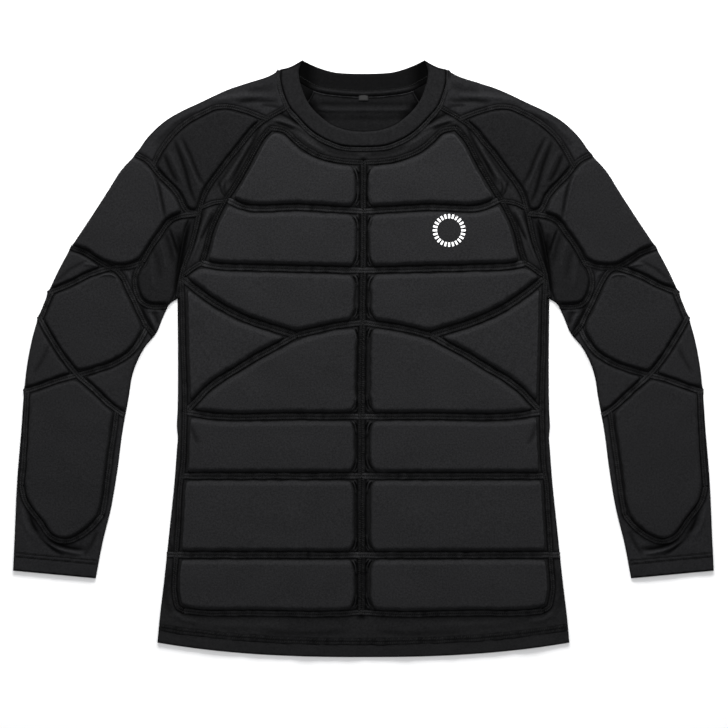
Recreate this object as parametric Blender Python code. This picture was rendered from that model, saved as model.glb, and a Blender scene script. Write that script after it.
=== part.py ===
"""Padded compression shirt, laid flat on a table with its front up.

Frame: +X to the right of the picture, +Y towards the neck, +Z up, and the table is z = 0.
The wearer's right is at -X. Every table gives one half of the shirt in millimetres: "out" is
the distance from the centre line and "up" the height above the middle of the shirt's length.
"""
import bpy
import bmesh
import numpy as np
from mathutils import Vector
from mathutils.geometry import delaunay_2d_cdt

MM = 0.001

# Layers, from the table up, in millimetres.
BACK_CLOTH = 1.2
SEAM_GAP = 0.3
FRONT_FLOOR = BACK_CLOTH + SEAM_GAP
FRONT_CLOTH = 1.8
COLLAR_CLOTH = 3.5
FOLD_WALL = 1.6
LABEL_CLOTH = 0.6

# Padding: how far its edge stays from a seam, and how wide its rounded shoulder is.
CHANNEL = 4.0
OVER_THE_EDGE = -1.2
PAD_SHOULDER = 7.0
CORNER_SOFTNESS = 2.6
CROWN = 1.0
CROWN_REACH = 45.0

# A seam that runs over a folded edge stands proud of the outline by this much.
SEAM_BUMP = 1.2
SEAM_HALF_WIDTH = 4.0

# Driving sizes of the cut.
HALF_HEM = 257.0
HEM_CENTRE = -372.2
HEM_RISE = 18.0
HEM_CURVE = 2.45
HEM_SAMPLES = 60
LABEL_SIZE = (12.5, 9.4)
LABEL_UP = 327.4

# Spacing of points, and how far a chord may stray from its curve.
SAMPLE_STEP = 2.5
CHORD_ERROR = 0.35
FINE_CHORD_ERROR = 0.1
FIELD_STEP = 20.0
FOLD_CHORD_ERROR = 0.8
CORNER_PLACES = (0.0, 5.0, 9.0, 16.0)
CLOSEST = 1.4
RIM_CLEARANCE = 2.2
SMOOTH_BELOW = 40.0

# Contour lines of the foam: their depths as shares of its shoulder, and the search for them.
CONTOURS = (0.05, 0.16, 0.5, 1.0, 3.0)
THICK_PAD = 6.0
CLIMBS = 14
LONGEST_CLIMB = 2.5
LEAST_SLOPE = 0.1
PROBE = 0.05
CONTOUR_ERROR = 0.3

# Two sides that meet at a flatter angle than this are taken as one line.
NEARLY_STRAIGHT = 0.02

# Curves of the half shirt: rows of (out, up).
CURVES = {
    # Folded edges and free ends.
    "sleeve_fold": (
        (103.4, 360.9), (115, 354), (142, 344.7), (165, 337.2), (205, 319), (230, 307.2),
        (243, 298.5), (267, 275.5), (283.5, 252.5), (302, 235.5), (318, 210.5), (334, 185.5),
        (350.5, 160.5), (363, 141.5), (380, 111),
        (397, 73), (409, 41), (419, -3), (423.6, -42), (427, -89), (432, -150), (435.5, -226),
        (437.3, -264.1)),
    "cuff": ((437.3, -264.1), (336, -273.5)),
    "underarm_fold": (
        (336, -273.5), (327, -227), (318, -191), (309, -139), (302.4, -89), (295.6, -52),
        (288.5, -14), (274, 16), (260, 33), (252, 52), (242, 70.5), (232, 76.5)),
    "side_fold": (
        (232, 76.5), (231.3, -7), (231.8, -64), (232.6, -88), (231.6, -97), (232.6, -112),
        (235.3, -149), (241.5, -210), (248.6, -277), (254.6, -328), (257, -354.2)),
    # Neck.
    "collar_fold": ((76.5, 372.2), (84.6, 367.4), (92.1, 363.8), (103.4, 360.9)),
    "front_neck": (
        (103.4, 360.9), (103.4, 348), (99.6, 332), (93, 316), (79.6, 300), (67, 287),
        (54.6, 278), (42, 271.6), (29.6, 267.2), (17, 265.3), (0, 264.7)),
    "front_lip": (
        (76.5, 372.2), (80.8, 361), (80.3, 351), (77, 338.4), (69.6, 321), (62, 311),
        (52, 301.6), (42, 294), (29.6, 288.4), (17, 285.3), (0, 283.9)),
    "back_neck": ((103.4, 360.9), (91, 352), (78.4, 344.5), (62, 335.5), (30, 329.5), (0, 327.8)),
    "back_lip": (
        (76.5, 372.2), (67, 367.4), (54.6, 362.2), (37, 357.2), (18, 355.6), (0, 355.3)),
    # Sleeve seams of the front and the back.
    "raglan": (
        (93, 316), (120, 300.6), (132, 292), (154, 266.6), (179, 235), (198.8, 205.3),
        (206, 180), (214.8, 142.6), (227.8, 104.7), (232, 76.5)),
    "back_raglan": (
        (62, 335.5), (68, 325), (104, 274), (148, 213), (188, 151), (216, 105), (232, 76.5)),
    # Flat seams of the body.
    "centre": ((0, 245.3), (0, -318)),
    "neck_yoke": (
        (116, 288.4), (98.4, 284.7), (86, 273.4), (76, 264.7), (54.6, 253.7), (19, 246.1),
        (0, 245.3)),
    "chest_edge": (
        (116, 288.4), (126, 277.3), (146, 241.3), (163.5, 211.9), (177.5, 189.9), (188.8, 166),
        (197.8, 133.4), (202.5, 119.5)),
    "chest": ((170, 198.5), (155, 191.6), (80, 189.1), (0, 184.3)),
    "ribs": ((202.5, 119.5), (186, 116), (142, 113.7), (80, 112.2), (0, 110.1)),
    "waist_link": ((202.5, 119.5), (211, 114.4), (224, 104.5)),
    "flank_upper": (
        (226, 99.7), (205, 83), (180, 66), (155, 52.8), (130, 43.4), (105, 35.3), (84, 29)),
    "flank_lower": (
        (84, 29), (105, 17.2), (130, 4), (155, -11.6), (180, -26.6), (196, -39), (208, -51.6),
        (219.6, -64)),
    "rib_arch": ((84, 29), (61, 34.7), (36, 40.3), (0, 44.6)),
    "belly_top": ((224, -66.6), (198.4, -70.7), (80, -72.2), (0, -72.6)),
    "belly_middle": ((227, -146.9), (0, -146.9)),
    "belly_low": ((240, -245.5), (0, -246)),
    "side": (
        (227.8, 98), (226.5, 71), (225.3, 11), (223.4, -39), (224.2, -101.6), (225.6, -133),
        (229, -158), (231.5, -201.6), (234, -245.3), (235, -301), (232.4, -310.5),
        (225, -315.5)),
    "hem_seam": ((225, -315.5), (209, -317.3), (130, -318.4), (42, -319.7), (0, -317.5)),
    # Flat seams of the sleeve.
    "shoulder_front": (
        (282, 254), (273.4, 249.7), (254.8, 229.3), (231.5, 204), (219.6, 184), (206.5, 181)),
    "shoulder_top": (
        (264, 240), (254, 259.3), (239, 280), (221.5, 295.3), (199, 308), (185.5, 314),
        (173, 315.3), (147.5, 310), (121, 300)),
    "upper_arm": (
        (206.5, 181), (230, 177.8), (238.4, 174.7), (254.6, 155.3), (271, 131), (276.5, 120.3)),
    "inner_arm": (
        (276.5, 120.3), (282, 111), (285.3, 101), (285.3, 91), (282, 79.7), (277, 71.6),
        (268.4, 66), (250, 65)),
    "elbow_top": (
        (365.5, 139.1), (348.4, 132.8), (329.6, 121), (317, 114.5), (307, 111), (298.4, 102.2),
        (286, 76), (276, 51), (271, 38)),
    "elbow_cross": (
        (393, 82.2), (367, 92.8), (342, 105.3), (317, 113), (292, 115.3), (276.5, 120.3)),
    "forearm_fall": (
        (406, 52), (397, 36), (382, 11), (356.5, -21.6), (338.4, -37.8), (311, -62.8),
        (298, -71.5)),
    "forearm_rise": (
        (424, -41), (404.6, -35.3), (380, -26.6), (357, -20.3), (333.4, -14), (309.6, -4.7),
        (291, 7.2), (277, 26), (271, 38)),
    "forearm_outer": ((421, -41), (423, -89), (426, -139), (428, -160)),
    "forearm_end": (
        (428, -160), (424, -176), (404, -205), (390.4, -223), (383, -227), (367, -227.8),
        (356.4, -223), (338.4, -209.7), (327, -196)),
    "forearm_inner": (
        (327, -196), (324.4, -182.4), (317.8, -133), (312.6, -96.6), (308, -67), (305, -57)),
}

# Padded fields: the piece, the height of the foam, the field's middle and the seams round it.
PADS = {
    "chest_upper": ("front_body", 8.6, (70, 220), ("neck_yoke", "chest_edge", "chest", "centre")),
    "chest_lower": ("front_body", 8.8, (95, 150), ("chest", "chest_edge", "ribs", "centre")),
    "rib": (
        "front_body", 8.6, (90, 80),
        ("ribs", "waist_link", "flank_upper", "rib_arch", "centre")),
    "flank": ("front_body", 8.0, (190, 15), ("flank_upper", "side", "flank_lower")),
    "belly_upper": (
        "front_body", 9.0, (90, -30), ("rib_arch", "flank_lower", "belly_top", "centre")),
    "belly_one": ("front_body", 9.0, (100, -109), ("belly_top", "side", "belly_middle", "centre")),
    "belly_two": ("front_body", 9.2, (100, -196), ("belly_middle", "side", "belly_low", "centre")),
    "belly_three": (
        "front_body", 8.8, (100, -284), ("belly_low", "side", "hem_seam", "centre")),
    "shoulder": ("sleeve", 4.0, (205, 250), ("shoulder_top", "raglan", "shoulder_front")),
    "upper_arm": (
        "sleeve", 8.8, (290, 180),
        ("shoulder_front", "upper_arm", "elbow_cross", "elbow_top", "sleeve_fold")),
    "elbow_outer": ("sleeve", 5.0, (360, 114), ("elbow_top", "elbow_cross", "sleeve_fold")),
    "elbow": (
        "sleeve", 8.6, (335, 45),
        ("elbow_cross", "elbow_top", "forearm_rise", "forearm_fall", "sleeve_fold")),
    "inner_arm": ("sleeve", 5.0, (250, 115), ("upper_arm", "raglan", "underarm_fold", "inner_arm")),
    "forearm_outer": ("sleeve", 5.0, (400, -8), ("forearm_fall", "forearm_rise", "sleeve_fold")),
    "forearm_inner": ("sleeve", 5.4, (309, -25), ("forearm_fall", "underarm_fold", "forearm_rise")),
    "forearm": (
        "sleeve", 8.8, (370, -115),
        ("forearm_rise", "forearm_fall", "forearm_inner", "forearm_end", "forearm_outer")),
}

# Largest loose folds of plain cloth: the piece, height, half width and rows of (out, up).
FOLDS = {
    "strip": ("front_body", 2.6, 5.5, ((192, 188), (200, 168), (209, 143), (220, 117))),
    "strip_top": ("front_body", 2.2, 6.0, ((128, 286), (146, 262), (162, 238))),
    "yoke": ("front_body", 1.8, 6.0, ((92, 306), (74, 288), (56, 273))),
    "shoulder_slope": ("sleeve", 1.6, 9.0, ((112, 340), (150, 328), (190, 322))),
    "cuff": ("sleeve", 2.2, 6.0, ((416, -200), (399, -226), (375, -241), (350, -238))),
    "underarm": ("sleeve", 1.8, 5.0, ((272, 62), (266, 48), (262, 38))),
}

COLOURS = {
    "front_body": ((0.016, 0.016, 0.017), 0.78),
    "back_body": ((0.012, 0.012, 0.013), 0.82),
    "sleeve": ((0.015, 0.015, 0.016), 0.78),
    "collar": ((0.011, 0.011, 0.012), 0.80),
    "neck_label": ((0.008, 0.008, 0.009), 0.60),
}


def spline(rows, step=SAMPLE_STEP):
    """Points along the smooth curve through the rows."""
    knots = np.array(rows, float)
    lengths = np.linalg.norm(np.diff(knots, axis=0), axis=1)
    place = np.concatenate(([0.0], np.cumsum(lengths)))
    slopes = np.gradient(knots, place, axis=0)
    points = []
    for i, length in enumerate(lengths):
        count = max(1, round(length / step))
        for t in np.arange(count) / count:
            start = (1 + 2 * t) * (1 - t) ** 2 * knots[i] + t * (1 - t) ** 2 * length * slopes[i]
            end = t * t * (3 - 2 * t) * knots[i + 1] + t * t * (t - 1) * length * slopes[i + 1]
            points.append(start + end)
    return np.array(points + [knots[-1]])


def hem_curve():
    """The hem, from the side fold to the centre, as a flat arch."""
    out = np.linspace(HALF_HEM, 0.0, HEM_SAMPLES)
    return np.column_stack((out, HEM_CENTRE + HEM_RISE * (out / HALF_HEM) ** HEM_CURVE))


def simplify(curve, error=CHORD_ERROR):
    """Drop points that lie within the error of the chord that replaces them."""
    if len(curve) < 3:
        return curve
    chord = curve[-1] - curve[0]
    reach = max(np.linalg.norm(chord), 1e-9)
    away = curve - curve[0]
    stray = np.abs(chord[0] * away[:, 1] - chord[1] * away[:, 0]) / reach
    worst = int(np.argmax(stray))
    if stray[worst] < error:
        return curve[[0, -1]]
    return np.vstack((simplify(curve[:worst + 1], error)[:-1], simplify(curve[worst:], error)))


def distance(points, curve):
    """Shortest way from each point to a polyline."""
    best = np.full(len(points), np.inf)
    for a, b in zip(curve[:-1], curve[1:]):
        run = b - a
        t = np.clip((points - a) @ run / max(run @ run, 1e-12), 0.0, 1.0)
        best = np.minimum(best, np.linalg.norm(points - a - t[:, None] * run, axis=1))
    return best


def inside(points, ring):
    """Whether each point lies in a closed ring."""
    odd = np.zeros(len(points), bool)
    for a, b in zip(ring, np.roll(ring, -1, axis=0)):
        if a[1] == b[1]:
            continue
        spans = (a[1] > points[:, 1]) != (b[1] > points[:, 1])
        cut = a[0] + (points[:, 1] - a[1]) * (b[0] - a[0]) / (b[1] - a[1])
        odd ^= spans & (points[:, 0] < cut)
    return odd


def meeting(first, second):
    """Index on each of two curves where they come closest."""
    gaps = np.linalg.norm(first[:, None] - second[None], axis=2)
    return np.unravel_index(np.argmin(gaps), gaps.shape)


def bumped(fold, seams):
    """Push a folded edge out where the thickness of a seam wraps over it."""
    tangent = np.gradient(fold, axis=0)
    normal = np.column_stack((-tangent[:, 1], tangent[:, 0]))
    normal /= np.linalg.norm(normal, axis=1)[:, None]
    outward = np.sign(normal[:, 0])[:, None] * normal
    push = np.zeros(len(fold))
    for seam in seams:
        end = min((seam[0], seam[-1]), key=lambda p: np.min(np.linalg.norm(fold - p, axis=1)))
        away = np.linalg.norm(fold - end, axis=1)
        push = np.maximum(push, SEAM_BUMP * np.exp(-(away / SEAM_HALF_WIDTH) ** 2))
    return fold + outward * push[:, None]


def smooth_curves():
    """Every named curve of the half shirt, sampled closely."""
    curves = {name: spline(rows) for name, rows in CURVES.items()}
    curves["hem"] = hem_curve()
    arm = ("shoulder_front", "elbow_top", "elbow_cross", "forearm_fall", "forearm_rise")
    curves["sleeve_fold"] = bumped(curves["sleeve_fold"], [curves[name] for name in arm])
    curves["side_fold"] = bumped(curves["side_fold"], [curves["belly_low"]])
    return curves


def field_ring(curves, names):
    """The closed ring of seam pieces round one padded field."""
    sides = []
    count = len(names)
    for i, name in enumerate(names):
        here = curves[name]
        start = meeting(here, curves[names[i - 1]])[0]
        end = meeting(here, curves[names[(i + 1) % count]])[0]
        side = here[start:end + 1] if start <= end else here[end:start + 1][::-1]
        sides.append(simplify(side, FINE_CHORD_ERROR))
    return sides


def channel_of(name):
    """How far the padding stays from the seam or fold of that name."""
    return OVER_THE_EDGE if name.endswith("_fold") else CHANNEL


def field_depth(points, sides, names):
    """Depth of each point inside the foam, softened at the corners."""
    total = np.zeros(len(points))
    for side, name in zip(sides, names):
        total += np.exp(-(distance(points, side) - channel_of(name)) / CORNER_SOFTNESS)
    return -CORNER_SOFTNESS * np.log(total)


def pad_rise(depth, height):
    """Height of the foam over the cloth at a depth inside its edge."""
    shoulder = np.clip(depth / PAD_SHOULDER, 0.0, 1.0)
    crown = CROWN * (1.0 - np.exp(-np.maximum(depth, 0.0) / CROWN_REACH))
    return height * np.sqrt(1.0 - (1.0 - shoulder) ** 2) + crown * (shoulder > 0)


def spaced(side):
    """Places along one side of a field: close at its corners, wide between."""
    lengths = np.concatenate(([0.0], np.cumsum(np.linalg.norm(np.diff(side, axis=0), axis=1))))
    total = lengths[-1]
    near = [place for place in CORNER_PLACES if place < total / 2]
    inner = total - 2 * near[-1]
    wide = np.linspace(0.0, inner, max(1, round(inner / FIELD_STEP)) + 1)[1:-1] + near[-1]
    places = np.concatenate((near, wide, total - np.array(near[:0:-1])))
    return np.column_stack([np.interp(places, lengths, side[:, k]) for k in (0, 1)])


def field_contours(sides, names, middle, levels):
    """Closed rings inside one field, each at its own depth in the foam."""
    rim = np.vstack([spaced(side) for side in sides])
    toward = np.array(middle, float) - rim
    points = rim + toward / np.linalg.norm(toward, axis=1)[:, None]
    rings = []
    for level in levels:
        for _ in range(CLIMBS):
            depth = field_depth(points, sides, names)
            slope = np.column_stack([
                field_depth(points + nudge, sides, names) - depth
                for nudge in ((PROBE, 0.0), (0.0, PROBE))]) / PROBE
            steep = np.maximum(np.linalg.norm(slope, axis=1), LEAST_SLOPE)
            climb = np.clip((level - depth) / steep, -LONGEST_CLIMB, LONGEST_CLIMB)
            points = points + slope * (climb / steep)[:, None]
        there = np.abs(field_depth(points, sides, names) - level) < CONTOUR_ERROR
        ring = thinned(points[there & inside(points, np.vstack(sides))])
        if len(ring) > 4:
            rings.append(ring)
    return rings


def thinned(ring):
    """Leave out the points of a ring that crowd the one kept before them."""
    kept = []
    for point in ring:
        if all(np.linalg.norm(point - other) > CLOSEST for other in kept[-3:] + kept[:2]):
            kept.append(point)
    return np.array(kept)


class Relief:
    """Heights of one piece's upper face, and the lines that its mesh follows."""

    def __init__(self, curves, piece, hands):
        self.base = FRONT_FLOOR + FRONT_CLOTH
        self.fields = []
        self.folds = []
        self.lines = []
        for kind, height, middle, names in PADS.values():
            if kind != piece:
                continue
            sides = field_ring(curves, names)
            levels = np.array(CONTOURS if height > THICK_PAD else CONTOURS[:-1]) * PAD_SHOULDER
            rings = field_contours(sides, names, middle, levels)
            for hand in hands:
                self.fields.append(([mirrored(side, hand) for side in sides], names, height))
                self.lines += [mirrored(np.vstack((ring, ring[:1])), hand) for ring in rings]
        for kind, height, width, rows in FOLDS.values():
            if kind != piece:
                continue
            crest = simplify(spline(rows), FOLD_CHORD_ERROR)
            foot = offset(crest, width)
            for hand in hands:
                self.folds.append((mirrored(crest, hand), height, width))
                self.lines += [mirrored(line, hand) for line in (crest, foot, 2 * crest - foot)]

    def rise(self, points):
        """Height of the upper face at each point."""
        top = np.full(len(points), self.base)
        for sides, names, height in self.fields:
            ring = np.vstack(sides)
            within = inside(points, ring) | (distance(points, ring) < SEAM_GAP)
            depth = np.where(within, field_depth(points, sides, names), -1.0)
            top = np.maximum(top, self.base + pad_rise(depth, height))
        for crest, height, width in self.folds:
            slope = np.clip(1.0 - distance(points, crest) / width, 0.0, 1.0)
            top = np.maximum(top, self.base + height * slope)
        return top


def offset(chain, gap):
    """A polyline moved to its left by a gap."""
    run = np.diff(chain, axis=0)
    run /= np.linalg.norm(run, axis=1)[:, None]
    left = np.column_stack((-run[:, 1], run[:, 0]))
    after = np.vstack((left, left[-1:]))
    way = np.vstack((left[:1], left)) + after
    return chain + gap * way / np.sum(way * after, axis=1)[:, None]


def inset(chains, gaps):
    """Move each side of an outline inwards by its own gap and meet them again at the corners."""
    moved = [offset(chain, gap) for chain, gap in zip(chains, gaps)]
    for i, chain in enumerate(moved):
        last = moved[i - 1]
        corner = crossing(last[-2], last[-1], chain[0], chain[1])
        last[-1] = corner
        chain[0] = corner
    return moved


def crossing(a, b, c, d):
    """Where the line through a and b meets the line through c and d."""
    first, second = b - a, d - c
    area = first[0] * second[1] - first[1] * second[0]
    if abs(area) < NEARLY_STRAIGHT * np.linalg.norm(first) * np.linalg.norm(second):
        return (b + c) / 2
    t = ((c[0] - a[0]) * second[1] - (c[1] - a[1]) * second[0]) / area
    return a + t * first


def outline_of(chains):
    """One closed ring from sides that share their corners."""
    return np.vstack([chain[:-1] for chain in chains])


def split_lines(lines, ring):
    """The stretches of some lines that lie well inside a ring."""
    kept = []
    closed = np.vstack((ring, ring[:1]))
    for line in lines:
        good = inside(line, ring) & (distance(line, closed) > RIM_CLEARANCE)
        run = []
        for point, keep in zip(line, good):
            if keep:
                run.append(point)
            elif run:
                kept.append(run)
                run = []
        if run:
            kept.append(run)
    return kept


def filled(ring, lines=()):
    """Triangles of a flat region that follow the lines inside it; the ring's points come first."""
    points = [tuple(p) for p in ring]
    edges = [(i, (i + 1) % len(points)) for i in range(len(points))]
    seen = {}
    for line in split_lines(lines, ring):
        chain = []
        for point in line:
            key = (round(point[0], 2), round(point[1], 2))
            if key not in seen:
                seen[key] = len(points)
                points.append(tuple(point))
            chain.append(seen[key])
        edges += [(a, b) for a, b in zip(chain[:-1], chain[1:]) if a != b]
    flat, _, faces, _, _, _ = delaunay_2d_cdt([Vector(p) for p in points], edges, [], 1, 1e-4)
    return np.array([tuple(p) for p in flat]), faces


class Wall:
    """A closed mesh put together from flat regions and the strips between their edges."""

    def __init__(self, name):
        self.name = name
        self.mesh = bmesh.new()

    def region(self, ring, height, up=True, lines=()):
        """Add a region at a height or on a relief and give back the vertices of its ring."""
        flat, faces = filled(ring, lines)
        heights = height.rise(flat) if isinstance(height, Relief) else np.full(len(flat), height)
        verts = [self.mesh.verts.new((*(p * MM), z * MM)) for p, z in zip(flat, heights)]
        for face in faces:
            a, b, c = (flat[i] for i in face)
            turn = (b[0] - a[0]) * (c[1] - a[1]) - (b[1] - a[1]) * (c[0] - a[0])
            order = face if (turn > 0) == up else face[::-1]
            self.mesh.faces.new([verts[i] for i in order])
        near = [int(np.argmin(np.linalg.norm(flat - p, axis=1))) for p in ring]
        return [verts[i] for i in near]

    def strip(self, first, second):
        """Join two rows of vertices with quads."""
        for a, b, c, d in zip(first[:-1], first[1:], second[1:], second[:-1]):
            self.mesh.faces.new((a, b, c, d))

    def finish(self, colour):
        """Make the object, with its faces pointing out and its own material."""
        bmesh.ops.recalc_face_normals(self.mesh, faces=self.mesh.faces)
        bmesh.ops.triangulate(self.mesh, faces=self.mesh.faces)
        data = bpy.data.meshes.new(self.name)
        self.mesh.to_mesh(data)
        self.mesh.free()
        data.shade_smooth()
        data.set_sharp_from_angle(angle=np.radians(SMOOTH_BELOW))
        data.materials.append(cloth(self.name, *colour))
        thing = bpy.data.objects.new(self.name, data)
        bpy.context.scene.collection.objects.link(thing)
        return thing


def cloth(name, colour, roughness):
    """A matt cloth finish."""
    material = bpy.data.materials.new(name)
    material.use_nodes = True
    shader = material.node_tree.nodes["Principled BSDF"]
    shader.inputs["Base Color"].default_value = (*colour, 1.0)
    shader.inputs["Roughness"].default_value = roughness
    shader.inputs["Metallic"].default_value = 0.0
    return material


def plate(name, chains, floor, top, colour, lines=()):
    """A flat panel: a plain underside and an upper face that may carry relief."""
    wall = Wall(name)
    ring = outline_of(chains)
    lower = wall.region(ring, floor, up=False)
    upper = wall.region(ring, top, up=True, lines=lines)
    wall.strip(lower + lower[:1], upper + upper[:1])
    return wall.finish(colour)


def flat_tube(name, upper, lower, top, colour, lines=()):
    """A tube pressed flat, open at both ends; chains run fold, end, fold, end."""
    half = SEAM_GAP / 2
    outer_up, outer_down = (inset(chains, (0, half, 0, half)) for chains in (upper, lower))
    reach = FOLD_WALL
    inner_up, inner_down = (
        inset(chains, (reach, half, reach, half)) for chains in (upper, lower))
    wall = Wall(name)
    levels = (
        (outer_up, top, True, lines), (inner_up, FRONT_FLOOR, False, ()),
        (inner_down, BACK_CLOTH, True, ()), (outer_down, 0.0, False, ()))
    sides = []
    for chains, height, up, inner_lines in levels:
        verts = wall.region(outline_of(chains), height, up, inner_lines)
        ring = verts + verts[:1]
        starts = np.cumsum([0] + [len(chain) - 1 for chain in chains])
        sides.append([ring[a:b + 1] for a, b in zip(starts[:-1], starts[1:])])
    top_side, roof, ground, base = sides
    for fold in (0, 2):
        wall.strip(top_side[fold], base[fold])
        wall.strip(roof[fold], ground[fold])
    for end in (1, 3):
        wall.strip(top_side[end], roof[end])
        wall.strip(ground[end], base[end])
        for corner in (0, -1):
            wall.mesh.faces.new([side[end][corner] for side in sides])
    return wall.finish(colour)


def mirrored(curve, hand):
    """A half-shirt curve on one side: hand is -1 for the wearer's right, +1 for the left."""
    return curve * np.array((hand, 1.0))


def whole(curve):
    """A curve that ends on the centre line, from the wearer's right over to the left."""
    return np.vstack((mirrored(curve, -1), curve[::-1][1:]))


def counter_clockwise(chains):
    """Turn a ring of chains round if it runs clockwise."""
    ring = outline_of(chains)
    following = np.roll(ring, -1, axis=0)
    area = np.sum(ring[:, 0] * following[:, 1] - ring[:, 1] * following[:, 0])
    return chains if area > 0 else [chain[::-1] for chain in chains[::-1]]


def make_front(curves):
    """The front panel with its padded fields, both halves in one piece."""
    half = SEAM_GAP / 2
    start = meeting(curves["front_neck"], curves["raglan"])[0]
    neck = simplify(curves["front_neck"][start:])
    chains = [
        whole(neck)[::-1],
        mirrored(simplify(curves["raglan"]), -1),
        mirrored(simplify(curves["side_fold"]), -1),
        whole(simplify(curves["hem"])),
        simplify(curves["side_fold"])[::-1],
        simplify(curves["raglan"])[::-1],
    ]
    chains = inset(counter_clockwise(chains), (half, half, 0, 0, 0, half))
    relief = Relief(curves, "front_body", (-1, 1))
    plate("front_body", chains, FRONT_FLOOR, relief, COLOURS["front_body"], relief.lines)


def make_back(curves):
    """The plain back panel, which lies on the table."""
    half = SEAM_GAP / 2
    start = meeting(curves["back_neck"], curves["back_raglan"])[0]
    neck = simplify(curves["back_neck"][start:])
    chains = [
        whole(neck)[::-1],
        mirrored(simplify(curves["back_raglan"]), -1),
        mirrored(simplify(curves["side_fold"]), -1),
        whole(simplify(curves["hem"])),
        simplify(curves["side_fold"])[::-1],
        simplify(curves["back_raglan"])[::-1],
    ]
    chains = inset(counter_clockwise(chains), (half, half, 0, 0, 0, half))
    plate("back_body", chains, 0.0, BACK_CLOTH, COLOURS["back_body"])


def make_sleeve(curves, name, hand):
    """One raglan sleeve as a flattened tube with its padded fields on the upper wall."""
    start = meeting(curves["front_neck"], curves["raglan"])[0]
    back_start = meeting(curves["back_neck"], curves["back_raglan"])[0]
    front_end = np.vstack((curves["raglan"][::-1], curves["front_neck"][:start][::-1]))
    back_end = np.vstack((curves["back_raglan"][::-1], curves["back_neck"][:back_start][::-1]))
    folds = [simplify(curves[key]) for key in ("sleeve_fold", "cuff", "underarm_fold")]
    upper = [mirrored(chain, hand) for chain in folds + [simplify(front_end)]]
    lower = [mirrored(chain, hand) for chain in folds + [simplify(back_end)]]
    if hand > 0:
        upper, lower = turned(upper), turned(lower)
    relief = Relief(curves, "sleeve", (hand,))
    flat_tube(name, upper, lower, relief, COLOURS["sleeve"], relief.lines)


def turned(chains):
    """Run four chains the other way round, still as fold, end, fold, end."""
    back = [chain[::-1] for chain in chains[::-1]]
    return back[1:] + back[:1]


def make_collar(curves):
    """The doubled neck band, a ring that lies folded flat at both shoulders."""
    fold = simplify(curves["collar_fold"])
    front_seam, back_seam = (whole(simplify(curves[key])) for key in ("front_neck", "back_neck"))
    front_lip, back_lip = (whole(simplify(curves[key])) for key in ("front_lip", "back_lip"))
    left_fold = mirrored(fold, -1)
    upper = [left_fold, front_seam, fold[::-1], front_lip[::-1]]
    lower = [left_fold, back_seam, fold[::-1], back_lip[::-1]]
    flat_tube("collar", upper, lower, FRONT_FLOOR + COLLAR_CLOTH, COLOURS["collar"])


def make_label():
    """The bare tab in the back neck seam."""
    wide, tall = (size / 2 for size in LABEL_SIZE)
    corners = np.array(((-wide, -tall), (wide, -tall), (wide, tall), (-wide, tall)), float)
    ring = corners + np.array((0.0, LABEL_UP))
    chains = [np.array((ring[i], ring[(i + 1) % 4])) for i in range(4)]
    top = FRONT_FLOOR + LABEL_CLOTH
    plate("neck_label", chains, FRONT_FLOOR, top, COLOURS["neck_label"])


def main():
    for old in list(bpy.data.objects):
        bpy.data.objects.remove(old, do_unlink=True)
    curves = smooth_curves()
    make_back(curves)
    make_front(curves)
    make_sleeve(curves, "sleeve_right", -1)
    make_sleeve(curves, "sleeve_left", 1)
    make_collar(curves)
    make_label()


main()
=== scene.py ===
"""Looks of the padded compression shirt: knit cloth, foam pads, flat seams and stitches.

Frame: +X to the right of the picture, +Y towards the neck, +Z up, and the table is z = 0.
The wearer's right is at -X. Tables give one half of the shirt in millimetres: "out" is the
distance from the centre line and "up" the height above the middle of the shirt's length.
"""

import bmesh
import bpy
import numpy as np
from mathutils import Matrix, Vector
from mathutils.geometry import delaunay_2d_cdt


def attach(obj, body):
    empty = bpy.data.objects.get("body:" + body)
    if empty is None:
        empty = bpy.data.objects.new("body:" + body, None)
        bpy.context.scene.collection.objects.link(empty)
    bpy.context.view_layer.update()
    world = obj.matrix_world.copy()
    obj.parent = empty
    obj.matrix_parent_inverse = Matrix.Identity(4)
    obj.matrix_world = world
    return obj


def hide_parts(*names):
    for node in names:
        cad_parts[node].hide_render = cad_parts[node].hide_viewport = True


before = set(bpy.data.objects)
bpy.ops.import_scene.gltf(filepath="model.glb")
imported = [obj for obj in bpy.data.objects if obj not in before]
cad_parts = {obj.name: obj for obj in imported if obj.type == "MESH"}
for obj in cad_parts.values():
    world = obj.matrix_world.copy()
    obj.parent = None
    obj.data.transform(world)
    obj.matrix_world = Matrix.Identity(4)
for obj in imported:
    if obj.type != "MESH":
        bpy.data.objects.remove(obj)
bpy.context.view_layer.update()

# A millimetre in metres, a distance beyond everything, the least divisor, how close points
# count as one, no points at all, and the two hands with their sides.
MM = 0.001
FAR = 1000.0
TINY = 1e-12
WELD = 1e-5
NO_POINTS = np.empty((0, 2))
HANDS = {-1: "right", 1: "left"}

# Layers, from the table up, in millimetres.
BACK_CLOTH = 1.2
SEAM_GAP = 0.3
FRONT_FLOOR = BACK_CLOTH + SEAM_GAP
FRONT_CLOTH = 1.8
FRONT_TOP = FRONT_FLOOR + FRONT_CLOTH
COLLAR_CLOTH = 3.5
FOLD_WALL = 1.6
LABEL_CLOTH = 0.6

# Padding: how far its edge stays from the braid of a seam, or hangs over a fold.
SEAM_CLEAR = 0.9
SEAM_CLEARS = {"centre": 2.7, "side": 3.4, "chest_edge": 3.0}
OVER_THE_EDGE = -1.2
CORNER_SOFTNESS = 1.7

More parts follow.
